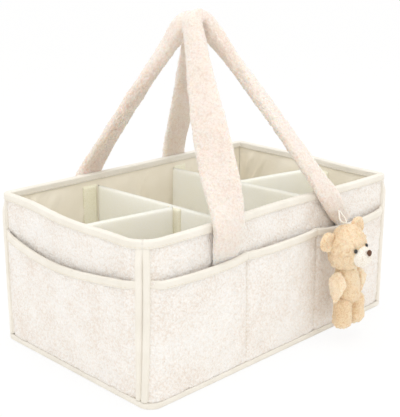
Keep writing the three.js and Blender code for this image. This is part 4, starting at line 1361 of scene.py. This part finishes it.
# floor, backdrop and light
studio = {
    "floorSize": 6.0, "floorColour": (250, 249, 247), "floorRoughness": 0.95, "floorGlow": 0.85,
    "white": (1, 1, 1, 1), "sky": 1.03, "aim": Vector((0, 0, 0.15)),
}
lamps = {
    "keyLamp": {"place": (1.5, -1.0, 0.95), "size": 0.7, "power": 1.5, "colour": (1.0, 0.985, 0.96)},
    "fillLamp": {"place": (-1.35, -0.75, 1.8), "size": 1.2, "power": 3.0, "colour": (1.0, 0.99, 0.98)},
    "topLamp": {"place": (-0.1, -0.15, 1.7), "size": 0.9, "power": 4.6, "colour": (1.0, 0.995, 0.98)},
}


def seenNode(tree):  # 1 where the camera sees a thing, also in gloss or through glass
    path = tree.nodes.new("ShaderNodeLightPath")
    seen = mathNode(tree, "MAXIMUM", path.outputs["Is Camera Ray"], path.outputs["Is Glossy Ray"])
    return mathNode(tree, "MAXIMUM", seen, path.outputs["Is Transmission Ray"])


def mixShaders(tree, share, first, second, output):
    mix = tree.nodes.new("ShaderNodeMixShader")
    link(tree, share, mix.inputs["Fac"])
    link(tree, first.outputs[0], mix.inputs[1])
    link(tree, second.outputs[0], mix.inputs[2])
    link(tree, mix.outputs[0], output.inputs["Surface"])


def addStage():
    material, tree, shader = nodeTree("paleFloor")
    setSockets(shader, {"Base Color": linear(studio["floorColour"]), "Roughness": studio["floorRoughness"]})
    glow = tree.nodes.new("ShaderNodeEmission")
    setSockets(glow, {"Color": studio["white"]})
    share = mathNode(tree, "MULTIPLY", seenNode(tree), studio["floorGlow"])
    mixShaders(tree, share, shader, glow, tree.nodes["Material Output"])
    bm = bmesh.new()
    bmesh.ops.create_grid(bm, x_segments=2, y_segments=2, size=studio["floorSize"])
    objectFrom(bm, "floor", material)


def addLamp(name):
    look = lamps[name]
    data = bpy.data.lights.new(name, "AREA")
    data.shape = "DISK"
    data.size = look["size"]
    data.energy = look["power"]
    data.color = look["colour"]
    lamp = bpy.data.objects.new(name, data)
    lamp.location = look["place"]
    lamp.rotation_euler = (studio["aim"] - Vector(look["place"])).to_track_quat("-Z", "Y").to_euler()
    bpy.context.scene.collection.objects.link(lamp)


def addLight():
    world = bpy.data.worlds.new("studio")
    world.use_nodes = True
    tree = world.node_tree
    sky = tree.nodes["Background"]
    backdrop = tree.nodes.new("ShaderNodeBackground")
    setSockets(sky, {"Color": studio["white"], "Strength": studio["sky"]})
    setSockets(backdrop, {"Color": studio["white"], "Strength": 1})
    mixShaders(tree, seenNode(tree), sky, backdrop, tree.nodes["World Output"])
    bpy.context.scene.world = world
    for name in lamps:
        addLamp(name)


addStage()
addLight()
bpy.context.scene.view_settings.view_transform = "Standard"
print("stage lit")
